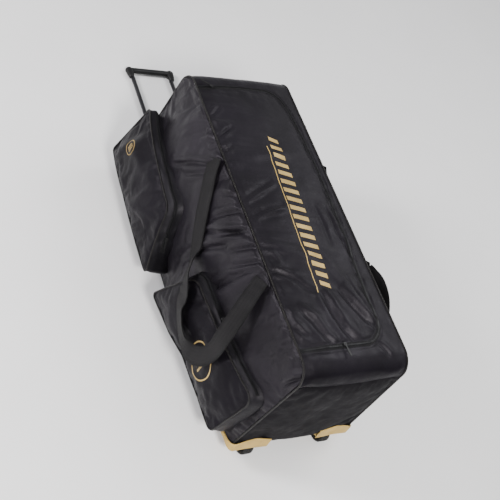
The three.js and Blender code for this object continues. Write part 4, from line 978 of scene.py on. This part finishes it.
# Flat plate from an outline with its upper edge eased: (points, faces)
def slab(outline, low, high, shrink=1.0):
    outline = np.array(outline, float)
    middle = outline.mean(0)
    ease = (high - low) * 0.25
    levels = [(low, 0.96), (low + ease, 1.0), (high - ease, 1.0), (high, 0.96 * shrink)]
    verts = [(*(middle + (p - middle) * k), z) for z, k in levels for p in outline]
    index = index_grid(len(levels), len(outline), tube=True)
    return np.array(verts), quads(index, TUBE) + [index[0, -2::-1].tolist(), index[-1, :-1].tolist()]


# Slider with a flat pull, built at the origin: the pull runs along x and up is z
def slider_parts(length):
    body = [(-7, 0.0), (-6.4, 0.55), (-3, 0.62), (0, 0.58), (3.4, 0.42), (4.2, 0.0)]
    outline = [(x, 7 * w) for x, w in body] + [(x, -7 * w) for x, w in body[-2:0:-1]]
    pull = [(-2, 1.3), (2, 1.9), (length * 0.3, 1.7), (length * 0.36, 2.5), (length - 1.2, 2.5), (length, 1.6)]
    bridge = [(-5, 1.2), (-1, 1.2), (-1, -1.2), (-5, -1.2)]
    return [slab(outline, 0.0, 1.5), slab(outline, 3.0, 4.4, 0.9), slab(bridge, 1.5, 3.0),
            slab(mirrored(pull), 3.7, 5.0, 0.97)]


# The slider's lowest corner comes where the solid's pull has it
def place_slider(name, node, along, up, length):
    x = unit(along - up * (along @ up))
    turn = np.stack([x, np.cross(up, x), up], 1)
    solid = [((-7, 4.2), (-4.2, 4.2), (0, 5)), ((0, length), (-2.5, 2.5), (3.6, 5))]
    corners = [turn @ np.array([a, b, c]) for xs, ys, zs in solid for a in xs for b in ys for c in zs]
    at = np.array(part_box(node)[0]) / MM - np.min(corners, axis=0)
    parts = [(verts @ turn.T + at, polys) for verts, polys in slider_parts(length)]
    piece(name, parts, [node], BLACK)


# Places along a line every pitch: here, ahead by a reach, and the ways along, across and up
def places_along(points, ups, first, last, pitch, reach):
    run = run_of(points)
    starts = np.arange(first, run[-1] - last, pitch)
    here, ahead = sample(starts, run, points), sample(starts + reach, run, points)
    up = unit(sample(starts, run, ups))
    along = unit(ahead - here)
    return zip(here, ahead, along, np.cross(up, along), up)


# Stitches: short raised dashes along a line of points, with the way off the cloth at each
DASH_PITCH = 4.4
DASH_LENGTH = 2.7
DASH_WIDTH = 0.45
DASH_FACES = [(0, 2, 5), (2, 4, 5), (4, 3, 5), (3, 0, 5), (1, 6, 2), (2, 6, 4), (4, 6, 3), (3, 6, 1)]


def dashes(points, ups):
    parts = []
    for a, b, along, across, up in places_along(points, ups, 1.0, DASH_LENGTH, DASH_PITCH, DASH_LENGTH):
        m, across = (a + b) / 2, across * DASH_WIDTH
        parts.append(([a - up * 0.3, b - up * 0.3, m + across, m - across, m + up * 0.42,
                       a + along * 0.5 + up * 0.25, b - along * 0.5 + up * 0.25], DASH_FACES))
    return parts


def thread_object(name, parts):
    piece(name, parts, [], THREAD, smooth=True)


# Teeth: two rows of small blocks that mesh along a line
TOOTH_PITCH = 1.7
TOOTH_CORNERS = [(i, j, h) for h in (-0.2, 1) for i, j in ((-1, -1), (1, -1), (0.7, 1), (-0.7, 1))]
TOOTH_FACES = [(0, 1, 5, 4), (1, 2, 6, 5), (2, 3, 7, 6), (3, 0, 4, 7), (4, 5, 6, 7)]


def zip_teeth(name, points, ups):
    parts = []
    for k, (at, _, along, across, up) in enumerate(places_along(points, ups, 2.0, 2, TOOTH_PITCH, 1)):
        side = 1 if k % 2 else -1
        box = [at + along * (0.62 * i) + across * (side * (0.7 + 1.6 * j)) + up * (1.15 * h)
               for i, j, h in TOOTH_CORNERS]
        parts.append((box, TOOTH_FACES if side > 0 else [face[::-1] for face in TOOTH_FACES]))
    piece(name, parts, [], TEETH)


# Cloth beside the front's piping: it rises, gathers and is drawn in by the stitches
def front_edge(off, place, seed, reach):
    rise = 2.6 * (1 - np.exp(-off / 8)) + 3.0 * gather(place, off, seed + 8, 24, reach, 0.3)
    return rise - 1.5 * np.exp(-((off - 4.5) / 2.2) ** 2)


def pocket(name, shape, side, seed):
    order = FRONT if side < 0 else BACK
    seam, _ = pocket_path(shape["seam"], 0)
    front, _ = pocket_path(shape["front"], 0)
    seam_in, front_in = inward_of(seam), inward_of(front)
    low = side_surface(*seam.T) + SEAM_GAP
    high = pocket_face(shape, *front.T) - POCKET_PIPING - 3 * SEAM_GAP
    run = run_of(front)

    # Points of the gusset at rows of the path and shares of its depth, moved out
    def wall(rows, share, out):
        swell = (np.sin(np.pi * share) * 4 + out)[..., None]
        part = share[..., None]
        a = seam[rows][:, None] - seam_in[rows][:, None] * swell
        b = front[rows][:, None] - front_in[rows][:, None] * swell
        flat = a * (1 - part) + b * part
        y = low[rows][:, None] + (high - low)[rows][:, None] * share
        return out_to(side, flat[..., 0], y, flat[..., 1])

    def sag(rows, share):
        place = run[rows][:, None]
        edge = np.minimum(share, 1 - share) * POCKET_DEPTH
        hold = np.clip(edge / 12, 0, 1)
        zipped = np.clip(1.2 - np.abs(share - ZIP_MIDDLE) * POCKET_DEPTH / 15, 0, 1)
        pucker = 1.5 * gather(place + 0 * share, np.maximum(edge, 0), seed, 20, 18)
        return pucker + hold * ((1 - 0.8 * zipped) * 2.6 * noise(place / 44.2, share * 1.7, seed + 4) - 1.2)

    def gusset_uv(rows, shares):
        return np.stack([run[rows][:, None] * np.ones_like(shares), shares * POCKET_DEPTH], -1)

    rows = np.arange(len(seam))
    shares = np.tile(np.linspace(-0.14, 1.03, 20), (len(rows), 1))
    grid = wall(rows, shares, sag(rows, shares))
    obj = grid_sheet(f"{name}_gusset_cloth", grid, True, order, gusset_uv(rows, shares))
    finish_object(obj, [f"{name}_gusset"], GUSSET)

    path, marks = pocket_path(shape["front"], FRONT_INSET)
    closed = np.vstack([path, path[:1]])
    flat = patch(path, marks, *FRONT_GRID)
    x, z = flat[..., 0], flat[..., 1]
    off, place = nearest(closed, x, z)
    off = np.abs(off)
    folds = 0.8 * fold_sum(POCKET_FOLDS, *front_share(shape, x, z), 320, 170)
    slow = 2.6 * noise(x / 84, z / 58, seed + 12) + 1.3 * noise(x / 31, z / 27 + x / 80, seed + 14)
    relief = front_edge(off, place, seed, 34) + np.clip(off / 24, 0, 1) * (folds + slow)
    grid = out_to(side, x, pocket_face(shape, x, z) + relief, z)
    cloth = grid_sheet(f"{name}_front_cloth", grid, order=order, uv=flat)
    let_go(cloth, grid, 4.0, -0.016, -0.3 * side)
    finish_object(cloth, [f"{name}_front"], POCKET)
    points = out_to(side, front[:, 0], pocket_face(shape, *front.T), front[:, 1])
    cord(f"{name}_piping_cord", points, POCKET_PIPING, f"{name}_piping")

    begin, end, pull = (fine_index(i) for i in shape["zip"])
    rows = np.arange(begin, end + 1)
    shares = np.tile(ZIP_MIDDLE + ZIP_REACH * TAPE_ACROSS, (len(rows), 1))
    base = (sag(rows, shares).mean(1, keepdims=True) + sag(rows, shares)) * 0.5 + TAPE_LIFT
    tape = wall(rows, shares, base + 0.5)
    obj = grid_sheet(f"{name}_zip_tape", tape, order=order, uv=gusset_uv(rows, shares))
    finish_object(obj, [f"{name}_zip"], TAPE)
    middle = tape[:, 4]
    off_tape = wall(rows, shares, base + 2.5)[:, 4] - middle
    zip_teeth(f"{name}_zip_teeth", middle, off_tape)
    k = pull - begin
    along = unit(middle[min(k + 6, len(middle) - 1)] - middle[k])
    up = unit(np.cross(along, tape[k, -1] - tape[k, 0]))
    place_slider(f"{name}_slider", f"{name}_pull", along, up if up @ off_tape[k] >= 0 else -up, 24)

    line, _ = pocket_path(shape["front"], POCKET_PIPING + FRONT_STITCH)
    off, place = nearest(closed, *line.T)
    face = pocket_face(shape, *line.T) + front_edge(np.abs(off), place, seed, 30) + 0.35
    stitched = out_to(side, line[:, 0], face, line[:, 1])
    thread_object(f"{name}_stitches", dashes(stitched, np.tile([0, side, 0], (len(line), 1))))
    return cloth


pocket_fronts = {
    "handle_end": pocket("pocket_handle_end", POCKETS["handle_end"], -1, 40),
    "wheel_end": pocket("pocket_wheel_end", POCKETS["wheel_end"], -1, 60),
    "far": pocket("pocket_far", POCKETS["wheel_end"], 1, 80),
}

# Webbing band's section: places across in widths and heights in walls
RIBBON = np.array([
    (-0.5, 0.3), (-0.5, 0.72), (-0.475, 1.0), (-0.4, 0.93), (-0.2, 1), (0, 1), (0.2, 1), (0.4, 0.93), (0.475, 1.0),
    (0.5, 0.72), (0.5, 0.3), (0.475, 0), (0.25, 0), (0, 0), (-0.25, 0), (-0.475, 0),
])


# Webbing band along points; face is the way its outer side looks
def ribbon(name, at, face, width, node, curl):
    tangent = unit(np.gradient(at, axis=0))
    across = unit(np.cross(tangent, face))
    up = np.cross(across, tangent)
    a, b = RIBBON.T
    wide, high = a * width, b * STRAP_WALL + curl * (4 * a * a - 0.33)
    grid = at[:, None] + across[:, None] * wide[:, None] + up[:, None] * high[:, None]
    index = index_grid(*grid.shape[:2], tube=True)
    faces = quads(index, TUBE) + [index[0, -2::-1].tolist(), index[-1, :-1].tolist()]
    run = run_of(at)
    obj = new_object(name, grid, faces, np.stack(np.broadcast_arrays(run[:, None], wide), -1))
    finish_object(obj, [node], WEBBING)
    return across, up, run


# Smooth curve through rows of numbers, each step cut into a count of parts
def smooth_rows(rows, count):
    rows = np.asarray(rows, float)
    ends = np.vstack([2 * rows[0] - rows[1], rows, 2 * rows[-1] - rows[-2]])
    out = []
    for i in range(len(rows) - 1):
        p0, p1, p2, p3 = ends[i:i + 4]
        for t in np.arange(count) / count:
            square = (2 * p0 - 5 * p1 + 4 * p2 - p3) * t * t
            out.append(0.5 * (2 * p1 + (p2 - p0) * t + square + (3 * p1 - p0 - 3 * p2 + p3) * t**3))
    return np.array(out + [rows[-1]])


# Carry handles: x, z in shares of half the length and the height, lift, tilt, 1 where over the pocket
NEAR_STRAP = [
    (-0.36, 0.965, 0, 0.18, 0), (-0.3, 0.9, 0.02, 0.2, 0), (-0.22, 0.835, 0.08, 0.22, 0), (-0.13, 0.762, 0.14, 0.2, 0),
    (-0.04, 0.67, 0.2, 0.12, 0), (0.04, 0.595, 0.32, 0, 0), (0.133, 0.586, 1.08, -0.05, 0), (0.222, 0.58, 0.5, -0.1, 1),
    (0.262, 0.53, 0.36, -0.2, 1), (0.3, 0.465, 0.36, -0.3, 1), (0.385, 0.4, 0.34, -0.3, 1), (0.47, 0.36, 0.34, -0.1, 1),
    (0.55, 0.39, 0.34, 0.25, 1), (0.61, 0.48, 0.36, 0.5, 1), (0.627, 0.585, 0.42, 0.6, 1), (0.61, 0.697, 0.55, 0.65, 1),
    (0.57, 0.779, 1.05, 0.65, 0), (0.52, 0.85, 0.7, 0.55, 0), (0.476, 0.903, 0.36, 0.4, 0), (0.45, 0.93, 0.1, 0.28, 0),
    (0.43, 0.965, 0, 0.18, 0),
]
FAR_STRAP = [
    (-0.34, 0.965, -0.056, 0.18, 0), (-0.3, 0.91, -0.01, 0.18, 0), (-0.24, 0.85, 0.3, 0.18, 0),
    (-0.15, 0.77, 0.3, 0.18, 0), (-0.05, 0.68, 0.25, 0.18, 0), (0.07, 0.58, 0.66, 0.1, 0), (0.15, 0.55, 0.4, 0, 1),
    (0.25, 0.47, 0.34, 0, 1), (0.36, 0.41, 0.32, 0.1, 1), (0.48, 0.42, 0.34, 0.18, 1), (0.56, 0.48, 0.36, 0.2, 1),
    (0.6, 0.57, 0.38, 0.2, 1), (0.6, 0.68, 0.85, 0.18, 0), (0.58, 0.78, 0.85, 0.15, 0), (0.53, 0.87, 0.8, 0.1, 0),
    (0.462, 0.92, 0.62, 0.1, 0), (0.405, 0.93, 0.28, 0.15, 0), (0.36, 0.93, -0.01, 0.18, 0),
    (0.33, 0.965, -0.056, 0.18, 0),
]
# Box stitch at each end of a strap: from and to, each (0 or 1 along the box, place across in widths)
BOX_STITCH = [((0, -0.36), (0, 0.36)), ((1, -0.36), (1, 0.36)), ((0, -0.36), (1, 0.36)), ((0, 0.36), (1, -0.36))]
BOX_FROM, BOX_TO = 6.0, 44.0


# A strap's line keeps clear of the side panel, or of the pocket below it
def strap_rows(table, side):
    rows = []
    half = STRAP_WIDTH / 2
    for u, w, lift, tilt, over in table:
        x, z = u * HALF, w * HEIGHT
        px = np.array([x, x - half, x + half, x, x])
        pz = np.array([z, z, z, z - half / 2, min(z + half / 2, HEIGHT)])
        under = pocket_face(POCKETS["wheel_end"], px, pz) if over else side_surface(px, pz, SOLID_FOLDS)
        rows.append([x, side * (under.max() + STRAP_SEAT + lift * STRAP_LIFT), z, tilt])
    return rows


def carry_handle(word, table, side):
    rows = smooth_rows(strap_rows(table, side), 7)
    at = rows[:, :3]
    face = np.stack([np.zeros(len(rows)), side * np.ones(len(rows)), rows[:, 3]], 1)
    across, up, run = ribbon(f"carry_handle_{word}", at, face, STRAP_WIDTH, f"carry_strap_{word}", 0.5)
    parts = []
    for a in (-0.43, 0.43):
        parts += dashes(at + across * (a * STRAP_WIDTH) + up * (STRAP_WALL + 0.15), up)
    for low, high in ((BOX_FROM, BOX_TO), (run[-1] - BOX_TO, run[-1] - BOX_FROM)):
        for start, end in BOX_STITCH:
            b, a = np.linspace(start, end, 30).T
            here, side_way, off = (sample(low + (high - low) * b, run, field) for field in (at, across, up))
            parts += dashes(here + side_way * (a * STRAP_WIDTH)[:, None] + off * (STRAP_WALL + 0.2), off)
    thread_object(f"carry_handle_{word}_stitches", parts)


carry_handle("near", NEAR_STRAP, -1)
carry_handle("far", FAR_STRAP, 1)

# Haul handle on the handle end
y = np.linspace(-HAUL_HALF, HAUL_HALF, 90)
u = np.clip((HAUL_HALF - np.abs(y)) / 30 - 0.6, 0, 1)
at = band_point(on_handle_end(HAUL_LEVEL) + 0 * y, y / (half_width(HAUL_LEVEL) - INSET),
                SEAM_GAP + HAUL_LIFT * (1 - (1 - u) ** 2))
across, up, _ = ribbon("haul_band", at, np.tile([-1.0, 0, 0], (len(y), 1)), HAUL_WIDTH, "haul_handle", 0.4)
parts = []
for a in (-0.42, -0.3, 0.3, 0.42):
    parts += dashes(at + across * (a * HAUL_WIDTH) + up * (STRAP_WALL + 0.15), up)
thread_object("haul_band_stitches", parts)

# Lid zip: teeth, sliders and the stitches beside it
middle, lifted = (resample(on_cloth(ZIP, out), 900) for out in (1.1, 3.0))
zip_teeth("lid_zip_teeth", middle, lifted - middle)
for word, turn in (("handle", -2.2), ("wheel", 0.1)):
    along = np.array([math.cos(turn), math.sin(turn), 0])
    place_slider(f"lid_slider_{word}", f"lid_pull_{word}", along, np.array([0.0, 0.0, 1.0]), 30)
stitch_lines = []
for offset in (-11.5, -14, 11.5, 14):
    line = zip_line(offset)
    if offset > 0:
        line = np.clip(line, [-HALF, -NEAR_EDGE + 1], [HALF, NEAR_EDGE - 2])
    stitch_lines.append((line, 0.35))
x = np.linspace(-HALF + 50, HALF - 50, 260)
for side in (-1, 1):
    stitch_lines.append((np.stack([x, np.full_like(x, side * (NEAR_EDGE - 4))], 1), 0.3))
parts = []
for line, lift in stitch_lines:
    base = on_cloth(line, lift)
    parts += dashes(base, on_cloth(line, 2.0) - base)
thread_object("lid_stitches", parts)


# Closed wall from an outer and an inner grid: (points, faces)
def wall_part(outer, inner):
    index = index_grid(*outer.shape[:2])
    n = index.size
    ring = np.concatenate([index[0, :-1], index[:-1, -1], index[-1, :0:-1], index[:0:-1, 0]])
    faces = quads(index) + quads(index + n, BACK)
    faces += [(p, q, q + n, p + n) for p, q in zip(ring, np.roll(ring, -1))]
    return np.concatenate([outer.reshape(-1, 3), inner.reshape(-1, 3)]), faces


# Turned part: profile of (radius, along) about an axis through a centre, stretched along x, y and z
AXES = {"x": ((1, 0, 0), (0, 1, 0), (0, 0, 1)), "y": ((0, 1, 0), (0, 0, 1), (1, 0, 0))}


def turned(profile, centre, axis, sides=48, closed=False, stretch=(1, 1, 1)):
    profile = np.array(profile, float)[:, :, None, None]
    w = (2 * np.pi * np.arange(sides) / sides)[:, None]
    along, first, second = np.array(AXES[axis])
    grid = profile[:, 1] * along + profile[:, 0] * (np.cos(w) * first + np.sin(w) * second)
    faces = quads(index_grid(len(profile), sides, closed, True), TUBE)
    return grid.reshape(-1, 3) * stretch + centre, faces


# Wheels and axle pins, their sections given from one face to the middle
WHEEL_X = HALF - 13
WHEEL_Y = 116
WHEEL_R = 28
TYRE = mirrored([(19.6, -9.4), (22, -12.2), (24.6, -13), (26.4, -12.6), (27.6, -11), (28, -9.2), (28, -7.2),
                 (26.9, -6.7), (26.9, -5.9), (28, -5.4), (28, -1.2), (26.9, -0.7)])
RIM = mirrored([(4.4, -10), (10.6, -10), (11, -9.6), (11, -7.6), (12.4, -6.4), (18.2, -6.4), (19.4, -7.2),
                (20.2, -9.2)])
PIN = mirrored([(0, -18), (3.2, -18), (4, -17.4)])
# A spoke's inner and outer end: radius, half width and the height of its ridge
SPOKE = ((10.5, 2.2, 8.6), (19.6, 1.5, 7.6))
SPOKE_FACES = [(0, 1, 3, 2), (4, 6, 7, 5), (1, 5, 7, 3), (0, 4, 5, 1), (2, 3, 7, 6)]


def wheel(word, side):
    body = f"wheel_{word}"
    centre = np.array((WHEEL_X, side * WHEEL_Y, WHEEL_R), float)
    piece(f"{body}_tyre", [turned(TYRE, centre, "y", 72)], [body], RUBBER, body, smooth=True)
    parts = [turned(RIM, centre, "y", 60, closed=True)]
    for k in range(6):
        c, s = math.cos(math.pi / 3 * k), math.sin(math.pi / 3 * k)
        for face in (-1, 1):
            verts = [centre + (r * s + across * c, face * y, r * c - across * s)
                     for r, half, ridge in SPOKE for across in (-half, half) for y in (6.0, ridge)]
            parts.append((verts, SPOKE_FACES))
    piece(f"{body}_hub", parts, [], HUB, body)
    piece(f"axle_{word}_pin", [turned(PIN, centre, "y", 32)], [f"axle_{word}"], STEEL)


# Guards: the height of the crest in shares along the guard, then sizes
GUARD_CREST = np.array([(0, 0.72), (0.3, 1), (0.55, 0.8), (0.75, 0.34), (1, 0.12)])
GUARD_ROUND = 6.0
GUARD_CLEAR = GUARD_ROUND * (math.sqrt(2) - 1) + PIPING + 2 * SEAM_GAP
GUARD_LOW, GUARD_HIGH = 53.0, 98.0
GUARD_INNER = 74.0
GUARD_WRAP = 44.0
GUARD_WALL = 3.0


# Stations run along the end (0), round the corner (1) and along the side (2)
def guard_stations():
    stations = [(0, s, 0.6 * s) for s in np.linspace(0, 1, 22)]
    stations += [(1, s, 0.6 + 0.12 * s) for s in np.linspace(0, 1, 10)[1:]]
    return stations + [(2, s, 0.72 + 0.28 * s) for s in np.linspace(0, 1, 12)[1:]]


# A guard's wall in plan at a level, moved out by its thickness
def guard_plan(run, share, z, out):
    level = max(z, LIP_HEIGHT + LIP_CORNER)
    wide = half_width(level) - GUARD_ROUND
    flare = 4 * min(max((GUARD_HIGH - z) / (GUARD_HIGH - GUARD_LOW), 0), 1)
    if run == 0:
        y = GUARD_INNER + (wide - GUARD_INNER) * share
        place = np.array(on_wheel_end(level)), np.array(y / (half_width(level) - INSET))
        x = float(band_point(*place, 2 * SEAM_GAP)[0])
        t = min(max((share - 0.3) / 0.7, 0), 1)
        return x + (max(HALF + GUARD_CLEAR, x) - x) * t * t * (3 - 2 * t) + flare + out, y
    if run == 1:
        r = GUARD_ROUND + GUARD_CLEAR + out
        w = share * math.pi / 2
        return HALF - GUARD_ROUND + (r + flare) * math.cos(w), wide + r * math.sin(w)
    x = HALF - GUARD_ROUND - (GUARD_WRAP - GUARD_ROUND) * share
    cloth = float(side_surface(x, level + GUARD_WALL, SOLID_FOLDS)) + 3 * SEAM_GAP
    return x, max(half_width(level) + GUARD_CLEAR, cloth) + out


def guard_crest(k):
    soft = np.interp(np.clip(k + np.linspace(-0.06, 0.06, 7), 0, 1), GUARD_CREST[:, 0], GUARD_CREST[:, 1])
    return GUARD_LOW + (GUARD_HIGH - GUARD_LOW) * float(soft.mean())


def guard_wall(stations, out, flip):
    rows = []
    for run, share, k in stations:
        for t in np.linspace(0, 1, 12):
            z = GUARD_LOW + (guard_crest(k) - GUARD_LOW) * t
            rows.append((*guard_plan(run, share, z, out - (0.8 * t**8 if out else 0)), z))
    return np.array(rows).reshape(len(stations), 12, 3) * flip


def guard(word, side):
    flip = np.array((1, side, 1))
    stations = guard_stations()
    parts = [wall_part(guard_wall(stations, GUARD_WALL, flip), guard_wall(stations, 0, flip))]
    top = LIP_HEIGHT - PIPING - 2 * SEAM_GAP
    outline = [(HALF - GUARD_WRAP, GUARD_INNER)]
    outline += [guard_plan(run, share, top, 1.5) for run, share, _ in stations]
    parts.append(slab(np.array(outline) * flip[:2], top - 1.8, top))
    # Two cheeks that hold the axle
    arc = [(WHEEL_X - 11 * math.cos(w), WHEEL_R - 11 * math.sin(w)) for w in np.linspace(0, math.pi, 17)]
    cheek, polys = slab([(WHEEL_X - 16, top - 0.5)] + arc + [(WHEEL_X + 11, top - 0.5)], 0, 3)
    for y in (WHEEL_Y - 17, WHEEL_Y + 14):
        parts.append((np.stack([cheek[:, 0], side * (y + cheek[:, 2]), cheek[:, 1]], 1), polys))
    obj = joined(f"wheel_guard_{word}_shell", parts)
    reshape(obj, recalculate)
    finish_object(obj, [f"wheel_guard_{word}"], GOLD, smooth=False)
    bevel = obj.modifiers.new("edge", "BEVEL")
    bevel.width = 0.7 * MM
    bevel.segments = 2
    bevel.limit_method = "ANGLE"
    bevel.angle_limit = math.radians(50)


for word, side in SIDES:
    wheel(word, side)
    guard(word, side)

# Trolley: grip, inner tubes and the collar's rims
TUBE_Z = 11.5
TUBE_Y = 67.0
TUBE_R = 6.4
DRAWN_OUT = 384
GRIP_X = -HALF - DRAWN_OUT
GRIP_R = 8.5
GRIP_GROOVE = 8.05
LEG = [(0, 0), (7.2, 0), (7.8, 0.8), (8.6, 6), (10.2, 14), (10.7, 20), (10.9, 26), (10.9, 30), (9.6, 35), (8, 38.5),
       (0, 38.5)]
COLLAR_RIM = [(7.0, 0), (7.0, -1.2), (7.6, -1.8), (9.0, -1.8), (9.6, -1.2), (9.6, 0)]
SCREW = [(0, -1.4), (2.6, -1.4), (3.4, -0.7), (3.4, 0.2)]
COLLAR_X = -HALF + 2
TUBE_START = 30.35
TUBE_END = DRAWN_OUT + 2 + 34 + 62


def trolley():
    cap = [(0, -84)]
    cap += [(GRIP_R * math.sin(w), -75.5 - GRIP_R * math.cos(w)) for w in np.linspace(0.2, math.pi / 2, 8)]
    ribs = [(GRIP_R if k % 2 else GRIP_GROOVE, 2 * k - 52) for k in range(53)]
    bar = cap + ribs + mirrored(cap)[len(cap):]
    parts = [turned(bar, (GRIP_X, 0, TUBE_Z), "y", 40, stretch=(1.15, 1, 1))]
    for side in (-1, 1):
        leg_at = (GRIP_X + 30, side * (TUBE_Y + 4), TUBE_Z)
        parts.append(turned([(r, -h) for r, h in LEG], leg_at, "x", 36, stretch=(1, 1.1, 0.92)))
    obj = joined("trolley_grip_body", parts)
    reshape(obj, recalculate)
    finish_object(obj, ["trolley_grip"], BLACK, "trolley")
    length = TUBE_END - TUBE_START
    tube = [(0, 0), (5.8, 0), (TUBE_R, 0.6), (TUBE_R, length - 0.6), (5.8, length), (0, length)]
    for word, side in SIDES:
        y = side * TUBE_Y
        part = turned(tube, (GRIP_X + TUBE_START, y, TUBE_Z), "x", 40)
        name = f"inner_tube_{word}"
        piece(f"{name}_body", [part], [name], TUBE_METAL, "trolley", smooth=True)
        part = turned(COLLAR_RIM, (COLLAR_X, y, TUBE_Z), "x", 40)
        piece(f"collar_rim_{word}", [part], [], BLACK, smooth=True)
    screws = [turned(SCREW, (COLLAR_X, y, TUBE_Z), "x", 24) for y in (-30, 30)]
    piece("collar_screws", screws, [], STEEL, smooth=True)


trolley()

# Carried-over solids get the better finishes
CARRIED = {
    "trolley_collar": BLACK,
    "trolley_bracket": BLACK,
    "outer_tube_near": TUBE_METAL,
    "outer_tube_far": TUBE_METAL,
}
for node, material in CARRIED.items():
    for material_slot in bpy.data.objects[node].material_slots:
        material_slot.link = "OBJECT"
        material_slot.material = material

bpy.context.view_layer.update()
settle()


# Generic gold marks, laid on the settled cloth
MARK_LIFT = 0.45


def strip_part(line, width, closed=True):
    line = np.asarray(line, float)
    points = resample(np.vstack([line, line[:1]]) if closed else line, 120)
    d = unit(np.gradient(points, axis=0))
    side = np.stack([-d[:, 1], d[:, 0]], 1) * width / 2
    grid = np.stack([points - side, points, points + side], 1)
    return grid.reshape(-1, 2), quads(index_grid(len(points), 3))


# Upright bar about a middle: half widths below and above, the levels of both ends, lean and steps
def bar_part(x, half_low, half_high, low, high, steps, lean=0.0):
    u = np.linspace(-1, 1, steps[0] + 1)[:, None]
    v = np.linspace(0, 1, steps[1] + 1)[None]
    across = (x - lean + u * half_low) * (1 - v) + (x + lean + u * half_high) * v
    grid = np.stack(np.broadcast_arrays(across, low + (high - low) * v), -1)
    return grid.reshape(-1, 2), quads(index_grid(*grid.shape[:2]))


def mark(name, parts, to_point, cloth, way):
    flat, faces = gathered(parts)
    tree = BVHTree.FromObject(cloth, bpy.context.evaluated_depsgraph_get())
    way = Vector(way)
    laid = []
    for place in flat:
        point = Vector(to_point(*place)) * MM
        hit = tree.ray_cast(point - way * 0.2, way)[0]
        laid.append(np.array(point if hit is None else hit) / MM - np.array(way) * MARK_LIFT)
    laid = np.array(laid)
    obj = new_object(name, laid, faces, laid[:, :2])

    def face_out(mesh):
        recalculate(mesh)
        bmesh.ops.reverse_faces(mesh, faces=[f for f in mesh.faces if f.normal.dot(way) > 0])

    reshape(obj, face_out)
    finish_object(obj, [], PRINT)


# Lid: a run of leaning bars, tallest in the middle, over one fine line
BARS = 17
parts = []
for share in (np.arange(BARS) + 0.5) / BARS:
    tall = 12 + 9 * math.sin(math.pi * share)
    parts.append(bar_part(-214 + 460 * share, 6.5, 6.5, -tall, tall, (4, 10), lean=6))
parts.append(strip_part([(-180, -26), (252, -26)], 2.4, closed=False))


def lid_place(x, y):
    return x, y - 6 - 0.06 * x, 440


mark("lid_bars", parts, lid_place, top_cloth, (0, 0, -1))


# Pockets: a ring round three stumps with two bails, scaled about its middle at (x, z)
def wicket(end, scale, x, z):
    w = np.linspace(0, 2 * np.pi, 60, endpoint=False)
    sign = [strip_part(np.stack([np.cos(w), np.sin(w)], 1) * 40, 3.2)]
    sign += [bar_part(middle, 2.6, 2.6, -22, 18, (2, 12)) for middle in (-12, 0, 12)]
    sign += [bar_part(middle, 5.6, 4.4, 20.5, 24.5, (4, 2)) for middle in (-6.3, 6.3)]

    def place(u, v):
        return x + u * scale, -330, z + v * scale

    mark(f"pocket_{end}_ring", sign, place, pocket_fronts[end], (0, 1, 0))


wicket("wheel_end", 1.15, 268, 158)
wicket("handle_end", 0.5, -374, 170)
